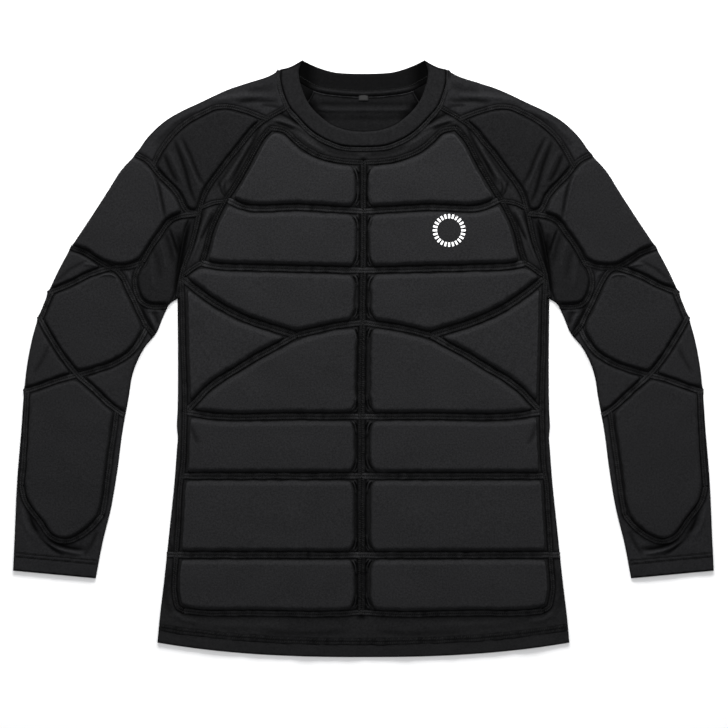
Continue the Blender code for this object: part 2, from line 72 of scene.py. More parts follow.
# Slopes at the edge of a pad, by the way they look: how wide the shoulder is, how far the painted
# shade of the groove reaches up, the share of the shoulder that is straight, and the painted
# highlight on its rim.
SLOPES = {
    "neck": (6.0, 2.6, 0.80, 0.10),
    "hem": (5.4, 1.1, 0.42, 0.0),
    "arm": (2.2, 1.2, 0.60, 0.4),
    "centre": (3.8, 2.0, 0.50, 0.0),
    "sleeve": (3.2, 1.8, 0.60, 0.0),
}

# The painted rim highlight's depth and half width, the depth up to which the foot is painted fully
# dark, the lean below which a side looks to the arm, and the slight crown with its reach.
RIM_PLACE = (1.8, 0.9)
FOOT_DARK = 0.1
LOOKS_ALONG = 0.6
CROWN = 1.0
CROWN_REACH = 45.0

# How far from its sides a pad's depth is measured, inside it and outside it.
FIELD_SIGHT = 70.0
FIELD_BEYOND = 60.0

# A seam that runs over a folded edge stands proud of the outline by this much, in a bump of
# this half width.
SEAM_BUMP = 1.2
SEAM_HALF_WIDTH = 4.0

# Driving sizes of the cut: the hem's arch.
HALF_HEM = 257.0
HEM_CENTRE = -372.2
HEM_RISE = 18.0
HEM_CURVE = 2.45
HEM_SAMPLES = 120

# The neck tab: its size and place, its points across and down, and how it is rounded at its
# edge, bowed and sunk into the cloth.
LABEL_SIZE = (12.5, 9.4)
LABEL_UP = 327.4
LABEL_POINTS = (13, 11)
LABEL_ROUND = 1.2
LABEL_BOW = 0.5
LABEL_SINK = 0.4

# Sampling of the curves, and how nearly straight a corner may be to need no crossing.
SAMPLE_STEP = 2.5
FINE_CHORD_ERROR = 0.1
NEARLY_STRAIGHT = 0.02

# Curves of the half shirt: rows of (out, up).
CURVES = {
    # Folded edges and free ends.
    "sleeve_fold": (
        (103.4, 360.9), (115, 354), (142, 344.7), (165, 337.2), (205, 319), (230, 307.2),
        (243.6, 299.3), (268.5, 277), (285.2, 253.8), (302, 235.5), (318, 210.5), (334, 185.5),
        (350.5, 160.5), (363, 141.5), (380, 111),
        (397, 73), (409, 41), (419, -3), (423.6, -42), (427, -89), (432, -150), (435.5, -226),
        (437.3, -264.1)),
    "cuff": ((437.3, -264.1), (336, -273.5)),
    "underarm_fold": (
        (336, -273.5), (327, -227), (318, -191), (309, -139), (302.4, -89), (295.6, -52),
        (288.5, -14), (274, 16), (260, 33), (252, 52), (242, 70.5), (232, 76.5)),
    "side_fold": (
        (232, 76.5), (231.3, -7), (231.8, -64), (232.6, -88), (231.6, -97), (232.6, -112),
        (235.3, -149), (241.5, -210), (248.6, -277), (254.6, -328), (257, -354.2)),
    # Neck.
    "collar_fold": ((76.5, 372.2), (84.6, 367.4), (92.1, 363.8), (103.4, 360.9)),
    "front_neck": (
        (103.4, 360.9), (103.4, 348), (99.6, 332), (93, 316), (79.6, 300), (67, 287),
        (54.6, 278), (42, 271.6), (29.6, 267.2), (17, 265.3), (0, 264.7)),
    "front_lip": (
        (76.5, 372.2), (80.8, 361), (80.3, 351), (77, 338.4), (69.6, 321), (62, 311),
        (52, 301.6), (42, 294), (29.6, 288.4), (17, 285.3), (0, 283.9)),
    "back_neck": ((103.4, 360.9), (91, 352), (78.4, 344.5), (62, 335.5), (30, 329.5), (0, 327.8)),
    "back_lip": (
        (76.5, 372.2), (67, 367.4), (54.6, 362.2), (37, 357.2), (18, 355.6), (0, 355.3)),
    # Sleeve seams of the front and the back.
    "raglan": (
        (93, 316), (120, 300.6), (132, 292), (154, 266.6), (179, 235), (198.8, 205.3),
        (206, 180), (214.8, 142.6), (227.8, 104.7), (232, 76.5)),
    "back_raglan": (
        (62, 335.5), (68, 325), (104, 274), (148, 213), (188, 151), (216, 105), (232, 76.5)),
    # Flat seams of the body.
    "centre": ((0, 245.3), (0, -318)),
    "neck_yoke": (
        (116, 288.4), (98.4, 284.7), (86, 273.4), (76, 264.7), (54.6, 253.7), (19, 246.1),
        (0, 245.3)),
    "chest_edge": (
        (116, 288.4), (126, 277.3), (146, 241.3), (163.5, 211.9), (177.5, 189.9), (188.8, 166),
        (197.8, 133.4), (202.5, 119.5)),
    "chest": ((170, 198.5), (155, 191.6), (80, 189.1), (0, 184.3)),
    "ribs": ((202.5, 119.5), (186, 116), (142, 113.7), (80, 112.2), (0, 110.1)),
    "waist_link": ((202.5, 119.5), (211, 114.4), (224, 104.5)),
    "flank_upper": (
        (226, 99.7), (205, 83), (180, 66), (155, 52.8), (130, 43.4), (105, 35.3), (84, 29)),
    "flank_lower": (
        (84, 29), (105, 17.2), (130, 4), (155, -11.6), (180, -26.6), (196, -39), (208, -51.6),
        (219.6, -64)),
    "rib_arch": ((84, 29), (61, 34.7), (36, 40.3), (0, 44.6)),
    "belly_top": ((224, -66.6), (198.4, -70.7), (80, -72.2), (0, -72.6)),
    "belly_middle": ((227, -146.9), (0, -146.9)),
    "belly_low": ((240, -245.5), (0, -246)),
    "side": (
        (227.8, 98), (226.5, 71), (225.3, 11), (223.4, -39), (224.2, -101.6), (225.6, -133),
        (229, -158), (231.5, -201.6), (234, -245.3), (235, -301), (232.4, -310.5),
        (225, -315.5)),
    "hem_seam": ((225, -315.5), (209, -317.3), (130, -318.4), (42, -319.7), (0, -317.5)),
    # Flat seams of the sleeve.
    "shoulder_front": (
        (282, 254), (273.4, 249.7), (254.8, 229.3), (231.5, 204), (219.6, 184), (206.5, 181)),
    "shoulder_top": (
        (264, 240), (254, 259.3), (239, 280), (221.5, 295.3), (199, 308), (185.5, 314),
        (173, 315.3), (147.5, 310), (121, 300)),
    "upper_arm": (
        (206.5, 181), (230, 177.8), (238.4, 174.7), (254.6, 155.3), (271, 131), (276.5, 120.3)),
    "inner_arm": (
        (276.5, 120.3), (282.6, 110.8), (285.9, 100.6), (286, 91.5), (283.4, 81),
        (279, 72.4), (272, 67), (262, 64.8), (250, 65)),
    "elbow_top": (
        (365.5, 139.1), (348.4, 132.8), (329.6, 121), (317, 114.5), (308, 109.8),
        (301.6, 101.9), (296.2, 91.5), (289.4, 77.2), (283.2, 63.7), (277, 51), (271, 38)),
    "elbow_cross": (
        (393, 82.2), (367, 92.8), (342, 105.3), (317, 113), (292, 115.3), (276.5, 120.3)),
    "forearm_fall": (
        (406, 52), (397, 36), (382, 11), (356.5, -21.6), (338.4, -37.8), (311, -62.8),
        (298, -71.5)),
    "forearm_rise": (
        (424, -41), (404.6, -35.3), (380, -26.6), (357, -20.3), (333.4, -14), (309.6, -4.7),
        (291, 7.2), (277, 26), (271, 38)),
    "forearm_outer": ((421, -41), (423, -89), (426, -139), (428, -160)),
    "forearm_end": (
        (428, -160), (424, -176), (404, -205), (390.4, -223), (383, -227), (367, -227.8),
        (356.4, -223), (338.4, -209.7), (327, -196)),
    "forearm_inner": (
        (327, -196), (324.4, -182.4), (317.8, -133), (312.6, -96.6), (308, -67), (305, -57)),
}

# Padded fields: the piece, the height of the foam, the field's middle and the seams round it.
PADS = {
    "chest_upper": ("front_body", 8.6, (70, 220), ("neck_yoke", "chest_edge", "chest", "centre")),
    "chest_lower": ("front_body", 8.8, (95, 150), ("chest", "chest_edge", "ribs", "centre")),
    "rib": (
        "front_body", 8.6, (90, 80),
        ("ribs", "waist_link", "flank_upper", "rib_arch", "centre")),
    "flank": ("front_body", 8.0, (190, 15), ("flank_upper", "side", "flank_lower")),
    "belly_upper": (
        "front_body", 9.0, (90, -30), ("rib_arch", "flank_lower", "belly_top", "centre")),
    "belly_one": ("front_body", 9.0, (100, -109), ("belly_top", "side", "belly_middle", "centre")),
    "belly_two": ("front_body", 9.2, (100, -196), ("belly_middle", "side", "belly_low", "centre")),
    "belly_three": (
        "front_body", 8.8, (100, -284), ("belly_low", "side", "hem_seam", "centre")),
    "shoulder": ("sleeve", 4.0, (205, 250), ("shoulder_top", "raglan", "shoulder_front")),
    "upper_arm": (
        "sleeve", 8.8, (290, 180),
        ("shoulder_front", "upper_arm", "elbow_cross", "elbow_top", "sleeve_fold")),
    "elbow_outer": ("sleeve", 5.0, (360, 114), ("elbow_top", "elbow_cross", "sleeve_fold")),
    "elbow": (
        "sleeve", 8.6, (335, 45),
        ("elbow_cross", "elbow_top", "forearm_rise", "forearm_fall", "sleeve_fold")),
    "inner_arm": (
        "sleeve", 5.0, (250, 115), ("upper_arm", "inner_fold", "underarm_fold", "inner_arm")),
    "forearm_outer": ("sleeve", 5.0, (400, -8), ("forearm_fall", "forearm_rise", "sleeve_fold")),
    "forearm_inner": ("sleeve", 5.4, (309, -25), ("forearm_fall", "underarm_fold", "forearm_rise")),
    "forearm": (
        "sleeve", 8.8, (370, -115),
        ("forearm_rise", "forearm_fall", "forearm_inner", "forearm_end", "forearm_outer")),
}

# Lines that only the scene shows: the short link in the loose strip, the seam along the
# elbow's fold, and the deep fold that the inner arm's pad ends at.
CURVES["chest_link"] = ((203.4, 188.4), (189.6, 194.4), (172.1, 197.2))
CURVES["elbow_edge"] = ((389.5, 84.0), (396.0, 69.0), (403.5, 50.0))
CURVES["elbow_tail"] = ((274, 43), (268, 36), (261, 28))
CURVES["inner_fold"] = (
    (213, 179.5), (219.6, 167), (224.6, 148), (228, 130), (231, 111), (233, 92), (236.5, 75))
MARGINS = {("elbow", "sleeve_fold"): 7.8, ("inner_arm", "inner_fold"): 1.2}

# Flat seams: the half width of the braid.
USUAL_HALF = 3.3
SEAM_HALF = {
    "centre": 3.9, "chest": 3.8, "ribs": 3.9, "rib_arch": 3.8, "flank_upper": 4.3,
    "flank_lower": 3.7, "belly_top": 3.9, "belly_middle": 4.0, "belly_low": 4.0,
    "hem_seam": 3.4, "side": 3.1, "waist_link": 3.0, "chest_link": 2.6, "raglan": 3.1,
    "neck_band": 2.9, "back_raglan": 1.5, "back_neck": 1.7, "hem_band": 4.4, "collar_seam": 0.2,
}

# How much light is painted on the braid of a seam; beside a pad that faces it there is less, a
# painted shade.
SEAM_LIGHT = {
    "centre": 0.36, "side": 0.5, "chest_edge": 0.28, "raglan": 0.38, "neck_yoke": 0.4,
    "neck_band": 0.6, "chest_link": 0.5, "waist_link": 0.5, "flank_upper": 0.75,
    "flank_lower": 0.78, "rib_arch": 0.9, "hem_seam": 0.9, "forearm_outer": 0.7,
    "forearm_inner": 0.6, "forearm_end": 0.8, "shoulder_front": 0.5, "shoulder_top": 0.5,
    "upper_arm": 0.55, "inner_arm": 0.55, "elbow_top": 0.6, "elbow_cross": 0.75,
    "elbow_edge": 0.7, "elbow_tail": 0.4, "back_raglan": 0.4, "back_neck": 1.0,
    "hem_band": 0.42,
}

# The braid's section, as rows of (across, up, painted light) in shares of its half width and height,
# and how it swells, wanders and narrows at its ends.
BRAID_PROFILE = (
    (-1.0, 0.0, 0.1), (-0.93, 0.6, 0.75), (-0.6, 1.0, 1.0), (-0.22, 0.8, 0.85), (0.0, 0.5, 0.4),
    (0.22, 0.8, 0.85), (0.6, 1.0, 1.0), (0.93, 0.6, 0.75), (1.0, 0.0, 0.1), (0.9, -0.6, 0.0),
    (-0.9, -0.6, 0.0))
BRAID_HEIGHT = 1.5
BRAID_LOW = 0.1
BRAID_STEP = 1.8
BRAID_SWELL = 0.05
BRAID_SWELL_SCALE = 14.0
BRAID_END = 0.45
BRAID_WANDER = 0.15
BRAID_WANDER_SCALE = 30.0
BRAID_STEADY = 4.0
LIGHT_WAVE = 0.14
LIGHT_WAVE_SCALE = 9.0

# A run of the braid that climbs more steeply than this takes its heading from its neighbours.
STEEP = 0.3

# Where a seam meets a folded edge: where to look for the edge along the seam, how close counts
# as meeting, how far the flat seam stops short of it, and the way over it as (past, z).
FOLD_SEARCH = (-5.0, 7.0, 0.1)
FOLD_MEETS = 0.5
FOLD_KEEPS = 2.6
OVER_FOLD = ((-1.9, 2.7), (-1.1, 2.5), (-0.7, 1.9), (-0.7, 1.1), (-1.1, 0.7))

# The cloth beside a braid: the width of the groove that is painted dark as shade, and how the seam
# pulls it in.
GROOVE_CLEAR = 1.4
CENTRE_GROOVE = 3.2
SEAM_SIGHT = 16.0
SEAM_DIP = 1.1
SEAM_DIP_CLEAR = 0.9
CROSSING_LIFT = 0.25

# The stitched bands round the neck: the place of the outer one from the collar's seam, the
# height of its braid, and the ends, height and lowest face of those inside the neck.
NECK_BAND = -3.0
NECK_BAND_HEIGHT = BRAID_HEIGHT * 0.8
BACK_NECK_END = 86.0
BACK_RAGLAN_END = 300.0
INSIDE_BRAID = BRAID_HEIGHT * 0.6
INSIDE_LOW = 0.8

# The row of stitches on the back neck band, as its distance from the seam.
BACK_ROW = 7.0

# Height of the threads over the line of their seam.
THREAD_LIFT = BRAID_HEIGHT * 0.9
NECK_THREAD_LIFT = BRAID_HEIGHT * 0.72
CUFF_THREAD_LIFT = 0.1
BACK_THREAD_LIFT = 0.15

# Stitches, drawn for a braid of the usual half width with +X along the seam: the pitch, the
# thickness and finish of the thread, and its runs. Flatlock threads cross over the seam.
STITCH_HALF = 3.1
STITCHES = {
    "flatlock": (2.6, 0.3, "thread", (
        ((-1.2, -2.6, -0.5), (-0.8, -1.8, 0.05), (-0.2, -0.6, -0.2), (0.0, 0.0, -0.6)),
        ((0.0, 0.0, -0.6), (0.3, 0.7, -0.2), (0.8, 1.8, 0.05), (1.2, 2.6, -0.5)))),
    "cover": (3.3, 0.34, "dark_thread", (
        ((-1.15, 0.0, -0.15), (-0.6, 0.0, 0.12), (0.6, 0.0, 0.12), (1.15, 0.0, -0.15)),)),
}
THREAD_SECTION = ((1, 0), (0, 0.8), (-1, 0), (0, -0.8))
STITCH_INPUTS = {
    "Path": "Geometry", "Pitch": "Float", "Stitch": "Object", "Thread": "Material",
    "Seed": "Int",
}

# No stitch is quite like the next: least and most of its size, and of its turn in radians.
STITCH_SIZES = ((0.7, 0.8, 0.5), (1.3, 1.08, 1.3))
STITCH_TURNS = ((-0.15, -0.1, -0.35), (0.15, 0.1, 0.35))

# Creases: the painted shade of a trough for each millimetre of its depth and at most, the painted
# light on a ridge, how broad and how blunt the painted mark is beside the fold, and the share of the
# length that it fades over. The last millimetres before a free edge are painted darker, as shade.
CREASE_SHADE = 0.42
DEEPEST_SHADE = 0.95
RIDGE_LIGHT = 0.16
EDGE_SHADE = 0.8
EDGE_SHADE_REACH = 1.0
CREASE_BREADTH = 0.8
CREASE_BLUNT = 0.7
CREASE_FADE = 0.3

BODY_SEAMS = (
    "centre", "chest", "ribs", "rib_arch", "flank_upper", "flank_lower", "belly_top",
    "belly_middle", "belly_low", "hem_seam", "neck_yoke", "chest_edge", "waist_link",
    "chest_link", "side", "raglan")
SLEEVE_SEAMS = (
    "forearm_inner", "forearm_outer", "forearm_end", "shoulder_front", "shoulder_top",
    "upper_arm", "inner_arm", "elbow_top", "elbow_tail", "elbow_cross", "elbow_edge",
    "forearm_fall", "forearm_rise")
BACK_SEAMS = ("back_raglan", "back_neck")

# Turned hems: the middle, half width and painted darkening of the hem's band of cover stitches from
# the free edge, and the same for the two rows of each cuff, where it is the painted shade of their
# grooves.
HEM_BAND = (18.4, 4.8, 0.5)
HEM_BAND_HEIGHT = 0.35
CUFF_ROWS = ((16.8, 1.2, 0.85), (21.4, 1.0, 0.8))

# Where the turned cloth ends, how it lifts the face above and below, how softly the lift
# ends, and how far a row of stitches pulls the cloth in.
HEM_FOLD = 22.4
CUFF_FOLD = 21.4
HEM_FOLD_LIFT = 0.45
UNDER_HEM_LIFT = -0.3
BAND_SOFTNESS = 0.8
ROW_DIP = 0.25

# Inside the neck: the part of the back that shows, as (out, up), where it comes free of the front,
# and the painted shade of the cloth, the band and the hollow of a sleeve, for how open they lie to
# the light.
SEEN_INSIDE = (92.0, 255.0)
INSIDE_FROM = 268.0
INSIDE_SOFTNESS = 5.0
INSIDE_PAINTED_SHADE = 0.75
COLLAR_INSIDE_PAINTED_SHADE = 0.35
HOLLOW_PAINTED_SHADE = 0.08

# The ridge where the back neck band turns in at its seam: its distance from the seam, its height and
# half width, and the highlight painted on it. The painted shade in the corners starts at a distance
# out.
BACK_RIDGE = (4.4, 0.9, 1.4)
BACK_RIDGE_LIGHT = 0.8
DUSK = 0.95
DUSK_FROM = 54.0
DUSK_FADE = 16.0

# The neck band: the height of its edge, how far it is rounded, its slight waves and the
# spacing of its points; then its height and rounding at the back, where it ends under the
# shoulders, and how far both are measured.
COLLAR_EDGE = 0.8
COLLAR_ROUND = 3.2
COLLAR_WAVE = 0.12
COLLAR_WAVE_SCALE = 14.0
COLLAR_STEP = 1.6
BACK_BAND_HEIGHT = 1.5
BACK_BAND_ROUND = 3.0
BACK_BAND_END = 66.0
BACK_BAND_FADE = 14.0
BAND_SIGHT = 14.0

# Creases of the cloth in its own sizes: the piece, sides, depth (a trough is below nought),
# half width, and rows of (out, up).
CREASES = {
    "yoke_trough": ("front", (-1, 1), -2.2, 2.4, ((106, 307), (92, 301), (80, 291))),
    "yoke_ridge": ("front", (-1, 1), 2.2, 2.6, ((117, 300), (99, 295), (82, 290), (66, 279))),
    "yoke_low": ("front", (-1, 1), -1.8, 2.0, ((111, 296), (98, 292), (86, 286))),
    "yoke_deep": ("front", (-1, 1), -1.0, 3.4, ((60, 270), (40, 259), (16, 254), (0, 253))),
    "yoke_side": ("front", (-1,), 1.4, 2.4, ((84, 284), (62, 266), (44, 259))),
    "yoke_other": ("front", (1,), 1.2, 2.4, ((90, 289), (66, 272), (50, 263))),
    "centre_ridge": (
        "front", (-1,), 1.8, 0.9, ((7.2, 240), (7.0, 190), (7.2, 150), (7.4, 100), (7.2, 50))),
    "centre_other": (
        "front", (1,), 1.2, 0.9, ((7.0, 40), (7.4, 0), (7.0, -60), (7.6, -140), (7.2, -240))),
    "strip_ridge": (
        "front", (-1, 1), 2.6, 2.2, ((189, 191), (195, 179), (200, 167), (206, 149), (214, 130),
                                     (226, 108))),
    "strip_trough": ("front", (-1, 1), -2.2, 1.8, ((187, 183), (193, 171), (198, 160), (205, 147))),
    "strip_second": ("front", (-1, 1), 1.6, 1.7, ((194, 166), (199, 149), (203, 136), (207, 124))),
    "strip_outer": ("front", (-1, 1), -2.0, 1.9, ((198, 188), (206, 164), (212, 144), (220, 121))),
    "upper_trough": (
        "front", (-1, 1), -2.4, 2.4, ((128, 292), (139, 270), (155, 242), (168, 217))),
    "upper_ridge": ("front", (-1, 1), 1.8, 2.8, ((133, 285), (148, 259), (168, 228), (182, 206))),
    "upper_second": ("front", (-1, 1), -1.4, 2.0, ((150, 263), (166, 240), (186, 211))),
    "link_pucker": ("front", (-1, 1), -2.0, 1.5, ((181, 223), (177, 208), (171, 201))),
    "link_second": ("front", (-1, 1), -1.7, 1.5, ((172, 224), (174, 211), (169, 202))),
    "side_ridge": ("front", (-1, 1), 1.3, 2.2, ((230, 60), (229, 0), (229, -50), (230, -120))),
    "side_low": ("front", (-1, 1), -1.0, 2.6, ((240, -150), (244, -200), (243, -232))),
    "side_pucker": ("front", (-1,), -1.4, 1.8, ((246, -226), (240, -237), (247, -252))),
    "side_foot": ("front", (-1, 1), -0.9, 4.0, ((241, -262), (247, -300), (240, -322))),
    "side_light": ("front", (-1, 1), 1.2, 3.2, ((238, -318), (226, -326), (206, -329))),
    "hem_wave": ("front", (-1,), 0.9, 5.0, ((216, -331), (150, -334), (90, -333))),
    "hem_other": ("front", (1,), 0.8, 4.4, ((190, -330), (130, -333), (60, -332))),
    "hem_wave_two": ("front", (-1, 1), -0.8, 4.0, ((130, -343), (60, -345), (10, -342))),
    "shoulder_one": ("sleeve", (-1, 1), -1.7, 2.8, ((161, 320), (132, 323), (105, 322))),
    "shoulder_two": ("sleeve", (-1, 1), -1.4, 2.2, ((128, 317), (113, 316), (103, 313))),
    "shoulder_light": ("sleeve", (-1, 1), 1.6, 3.8, ((196, 322), (164, 327), (120, 330))),
    "shoulder_broad": ("sleeve", (-1, 1), -0.9, 5.0, ((146, 333), (128, 336), (108, 340))),
    "shoulder_far": ("sleeve", (-1, 1), -1.0, 3.6, ((262, 264), (238, 291), (206, 309))),
    "shoulder_rim": ("sleeve", (-1, 1), 1.0, 3.0, ((256, 276), (234, 297), (205, 313))),
    "inner_deep": (
        "sleeve", (-1, 1), -2.6, 3.8,
        ((211, 179), (217, 168), (221, 152), (223.5, 140), (227, 125), (230.4, 102), (235, 78))),
    "inner_black": (
        "sleeve", (-1, 1), -2.4, 2.2,
        ((216, 172), (221.4, 158), (225, 142), (228, 126), (231.6, 104), (235, 82))),
    "elbow_fold": ("sleeve", (-1, 1), 2.0, 2.2, ((271, 61), (264, 60), (252, 60))),
    "elbow_trough": ("sleeve", (-1, 1), -1.6, 3.2, ((263, 60), (258, 50), (257, 42))),
    "elbow_light": ("sleeve", (-1, 1), 1.6, 2.0, ((269, 58), (264, 48), (260, 38))),
    "elbow_second": ("sleeve", (-1, 1), -2.6, 2.4, ((279, 68), (273, 55), (267.5, 44), (261, 32))),
    "triangle_light": ("sleeve", (-1, 1), 1.2, 1.8, ((300, 110), (293, 104), (290, 96))),
    "cuff_crease": (
        "sleeve", (-1, 1), -2.2, 2.8, ((420, -189), (413, -208), (402, -224), (386, -239),
                                       (373, -246))),
    "cuff_strong": (
        "sleeve", (-1, 1), -3.2, 2.8, ((396, -225), (382, -232), (364, -237), (346, -238))),
    "cuff_light": (
        "sleeve", (-1, 1), 3.0, 2.0, ((410, -214), (398, -228), (386, -236), (366, -242),
                                      (350, -245))),
    "cuff_outer": ("sleeve", (-1, 1), 1.4, 2.6, ((428, -180), (424, -205), (414, -226))),
    "cuff_inner": ("sleeve", (-1, 1), -1.3, 2.8, ((333, -215), (338, -228), (350, -247))),
    "back_one": ("back", (-1, 1), 0.6, 5.0, ((30, 300), (90, 250), (150, 180))),
    "back_two": ("back", (-1, 1), 0.5, 6.0, ((210, 80), (160, 20), (120, -60))),
    "back_three": ("back", (-1, 1), 0.5, 5.0, ((240, -180), (190, -210), (120, -220))),
    "back_four": ("back", (-1, 1), 0.5, 4.0, ((60, 60), (20, -40), (40, -150))),
    "back_neck_fold": ("inside", (-1, 1), 1.5, 2.6, ((70, 312), (36, 311), (-10, 311))),
    "back_neck_dip": ("inside", (-1, 1), -0.8, 2.6, ((66, 319), (30, 318), (-8, 318))),
    "back_neck_low": ("inside", (-1, 1), -0.7, 3.6, ((56, 302), (26, 300), (-8, 301))),
    # A trough whose painted shade is the shadow of the collar's front lip.
    "neck_corner": (
        "inside", (-1, 1), -2.4, 5.0,
        ((88, 360), (80, 345), (74, 333), (66, 319), (57, 308), (44, 298))),
    "under_elbow": ("under", (-1, 1), 0.7, 4.0, ((300, 100), (320, 60), (330, 10))),
    "under_arm": ("under", (-1, 1), 0.6, 5.0, ((240, 200), (270, 150), (282, 110))),
    "under_cuff": ("under", (-1, 1), 0.6, 4.0, ((430, -160), (400, -200), (350, -215))),
}

# The same on the pads: sides, depth, half width and rows of (out, up).
PAD_CREASES = {
    "shoulder": (
        (-1.8, 2.6, ((250, 257), (240, 233), (232, 218))),
        (1.3, 2.6, ((245, 262), (234, 238), (224, 214))),
        (-1.9, 2.6, ((237, 273), (225, 242), (211, 198), (207, 191))),
        (1.6, 2.8, ((233, 276), (219, 247), (206, 216), (200, 202))),
        (-1.6, 2.4, ((228, 278), (217, 255), (204, 224), (198, 215)))),
    "upper_arm": (
        (1.2, 2.0, ((267, 233), (261, 221), (257, 205), (253, 183), (251, 168))),
        (-1.8, 2.2, ((263, 232), (257, 220), (253, 204), (249, 183), (247, 172)))),
    "inner_arm": (
        (-2.2, 5.0, ((231, 158), (229, 140), (230, 118), (232, 98), (236, 84))),
        (-2.0, 1.8, ((243, 163), (237, 147), (231, 128))),
        (-1.2, 3.0, ((248, 158), (242, 140), (237, 116))),
        (1.4, 2.8, ((256, 150), (250, 132), (246, 108))),
        (-0.8, 3.4, ((262, 138), (257, 120), (253, 98))),
        (1.0, 3.4, ((266, 128), (264, 108), (262, 86)))),
    "belly_one": ((-1.0, 3.0, ((217, -80), (212, -95), (205, -108))),),
    "elbow": ((2.0, 1.3, ((332, 102), (322, 105), (312, 104), (304.5, 98), (300, 91))),),
    "elbow_outer": (
        (-1.0, 2.4, ((385, 95), (365, 112), (345, 122))),
        (1.2, 1.8, ((352, 118), (338, 117), (326, 114)))),
    "forearm_outer": ((-0.9, 2.8, ((412, -20), (400, 0), (392, 18))),),
}

# The room that each pad leaves beside the centre seam, over the usual, by pad and side.
CENTRE_ROOM = {
    ("chest_upper", -1): 2.3, ("chest_upper", 1): -1.4, ("chest_lower", -1): 2.1,
    ("rib", -1): 2.5, ("rib", 1): 2.1, ("belly_upper", -1): -1.0, ("belly_upper", 1): 2.2,
    ("belly_one", 1): 1.6, ("belly_two", -1): 0.9, ("belly_two", 1): 2.1,
    ("belly_three", -1): 0.5, ("belly_three", 1): 1.8,
}

# The centre seam: its crossings, how the pads draw back from it there, and their uneven edge
# beside it.
CENTRE_CROSSINGS = (245.0, 184.3, 110.1, 44.6, -72.6, -146.9, -246.0, -317.5)
FLARE = 5.8
FLARE_RUN = 11.5
CENTRE_WAVE = 0.5
CENTRE_WAVE_SCALE = 17.0
CENTRE_WAVE_REACH = 12.0

# The centre seam strays to the wearer's right below the chest, where its braid is wider too.
DRIFT = 2.5
DRIFT_ROWS = (150.0, -60.0)
DRIFT_REACH = 32.0
CENTRE_GAIN = 1.2

# Small tucks of the cloth beside each crossing: depth, half width and rows of (from the
# centre seam, from the crossing).
TUCKS = (
    (3.4, 1.1, ((6.4, 26.0), (7.4, 17.0), (9.2, 10.4), (12.4, 6.2))),
    (-2.4, 0.9, ((8.6, 20.0), (10.2, 13.0), (13.4, 8.4))),
    (-2.4, 0.8, ((5.4, 19.0), (6.4, 12.4), (8.4, 7.6))),
    (2.6, 1.0, ((5.4, 12.0), (6.8, 8.0), (9.6, 5.0))),
)
TUCK_SEED = 17
TUCK_STRETCH = (0.8, 1.15)
TUCK_JITTER = 0.5
TUCK_DEPTHS = (0.7, 1.2)

# On a pad the tucks are lower, and they fade over this many millimetres of its edge.
TUCK_ON_PAD = 0.6
TUCK_RIM = (1.5, 2.2)

# Close points beside each crossing: their spacing and the half size of their box.
TUCK_GRID = 0.7
TUCK_BOX = (14.0, 24.0)

# Foam pads in the scene: contour depths, the share of the height that stands as a wall and the reach
# of that wall, the rows of points beside a crease in shares of its half width, the spacing of points
# on the rim and inside, how far these stay from the last contour, and how deep the foot sits in the
# cloth and how much it tapers.
PAD_LEVELS = (0.0, 0.25, 0.7, 1.4, 2.4, 3.8, 5.4, 7.2, 9.5, 12.5)
PAD_WALL = 0.3
PAD_WALL_REACH = 0.9
CREASE_ROWS = (-1.8, -1.2, -0.7, -0.3, 0.0, 0.3, 0.7, 1.2, 1.8)
PAD_RIM_STEP = 2.0
PAD_GRID = 5.0
PAD_GRID_CLEAR = 0.6 * PAD_GRID
PAD_SINK = 1.2
PAD_TAPER = 0.004

# Unevenness of the foam: the wander of its edge, the puckers beside it and the slow waves on
# top, each with its scale; and the depths from which creases and their close points begin.
PAD_WAVE = 0.2
PAD_WAVE_SCALE = 16.0
PUCKER = 0.3
PUCKER_REACH = 5.0
PUCKER_SCALE = 7.0
FOAM_WAVE = 0.25
FOAM_SCALE = 46.0
CREASES_FROM = 3.0
CREASE_POINTS_FROM = 1.0

# A pad that hangs over a folded edge: how far it drops, and how far in that begins.
WRAP_DROP = 1.7
WRAP_REACH = 9.0

# Rays from the middle of a pad find its contours: their number, step and reach past its side.
RAYS = 720
RAY_STEP = 1.0
RAY_BEYOND = 4.0

# Spacing of the points of a cloth face: in the open, under a pad and on the back; the depth
# under a pad from which they are sparse, their distance from an edge in shares of the
# spacing, the height of a row of even triangles, and the spacing along an outline.
FINE_GRID = 1.6
COARSE_GRID = 9.0
BACK_GRID = 4.5
UNDER_PAD = 2.5
EDGE_CLEAR = 0.7
TRIANGLE_ROW = 0.866
RING_STEP = 2.2

# Rounded edges: steps of a quarter turn, and the radius of a fold and of a free edge.
EDGE_STEPS = 4
FOLD_RADIUS = 1.6
EDGE_RADIUS = 0.8

# Random fields: how many waves make one and their lengths in shares of its scale. The loose
# cloth has two: rows of height, scale and what is added to the seed.
WAVES = 14
WAVE_LENGTHS = (0.8, 2.0)
LOOSE_WAVES = ((0.3, 38.0, 0), (0.1, 11.0, 50))

# How far the cloth may leave its base, and the same for the face that rests on the table.
RELIEF_LIMITS = (-1.15, 3.5)
UNDER_SHARE = 0.6
UNDER_MOST = 0.75

# How far the soft rounded edges reach past the drawn outline.
SIDE_EASE = 0.7
HEM_EASE = 1.3
SLEEVE_EASE = 1.2
CUFF_EASE = 1.2
COLLAR_EASE = 1.2

# A plain printed ring of ticks on the wearer's left chest: how many there are, the ring's
# middle, the two ends and the width of a tick, and how it stands over and sinks into the pad.
TICKS = 24
TICK_RING = (107.0, 160.0)
TICK_REACH = (15.0, 20.5)
TICK_WIDTH = 2.6
TICK_RISE = 0.22
TICK_SINK = 0.3

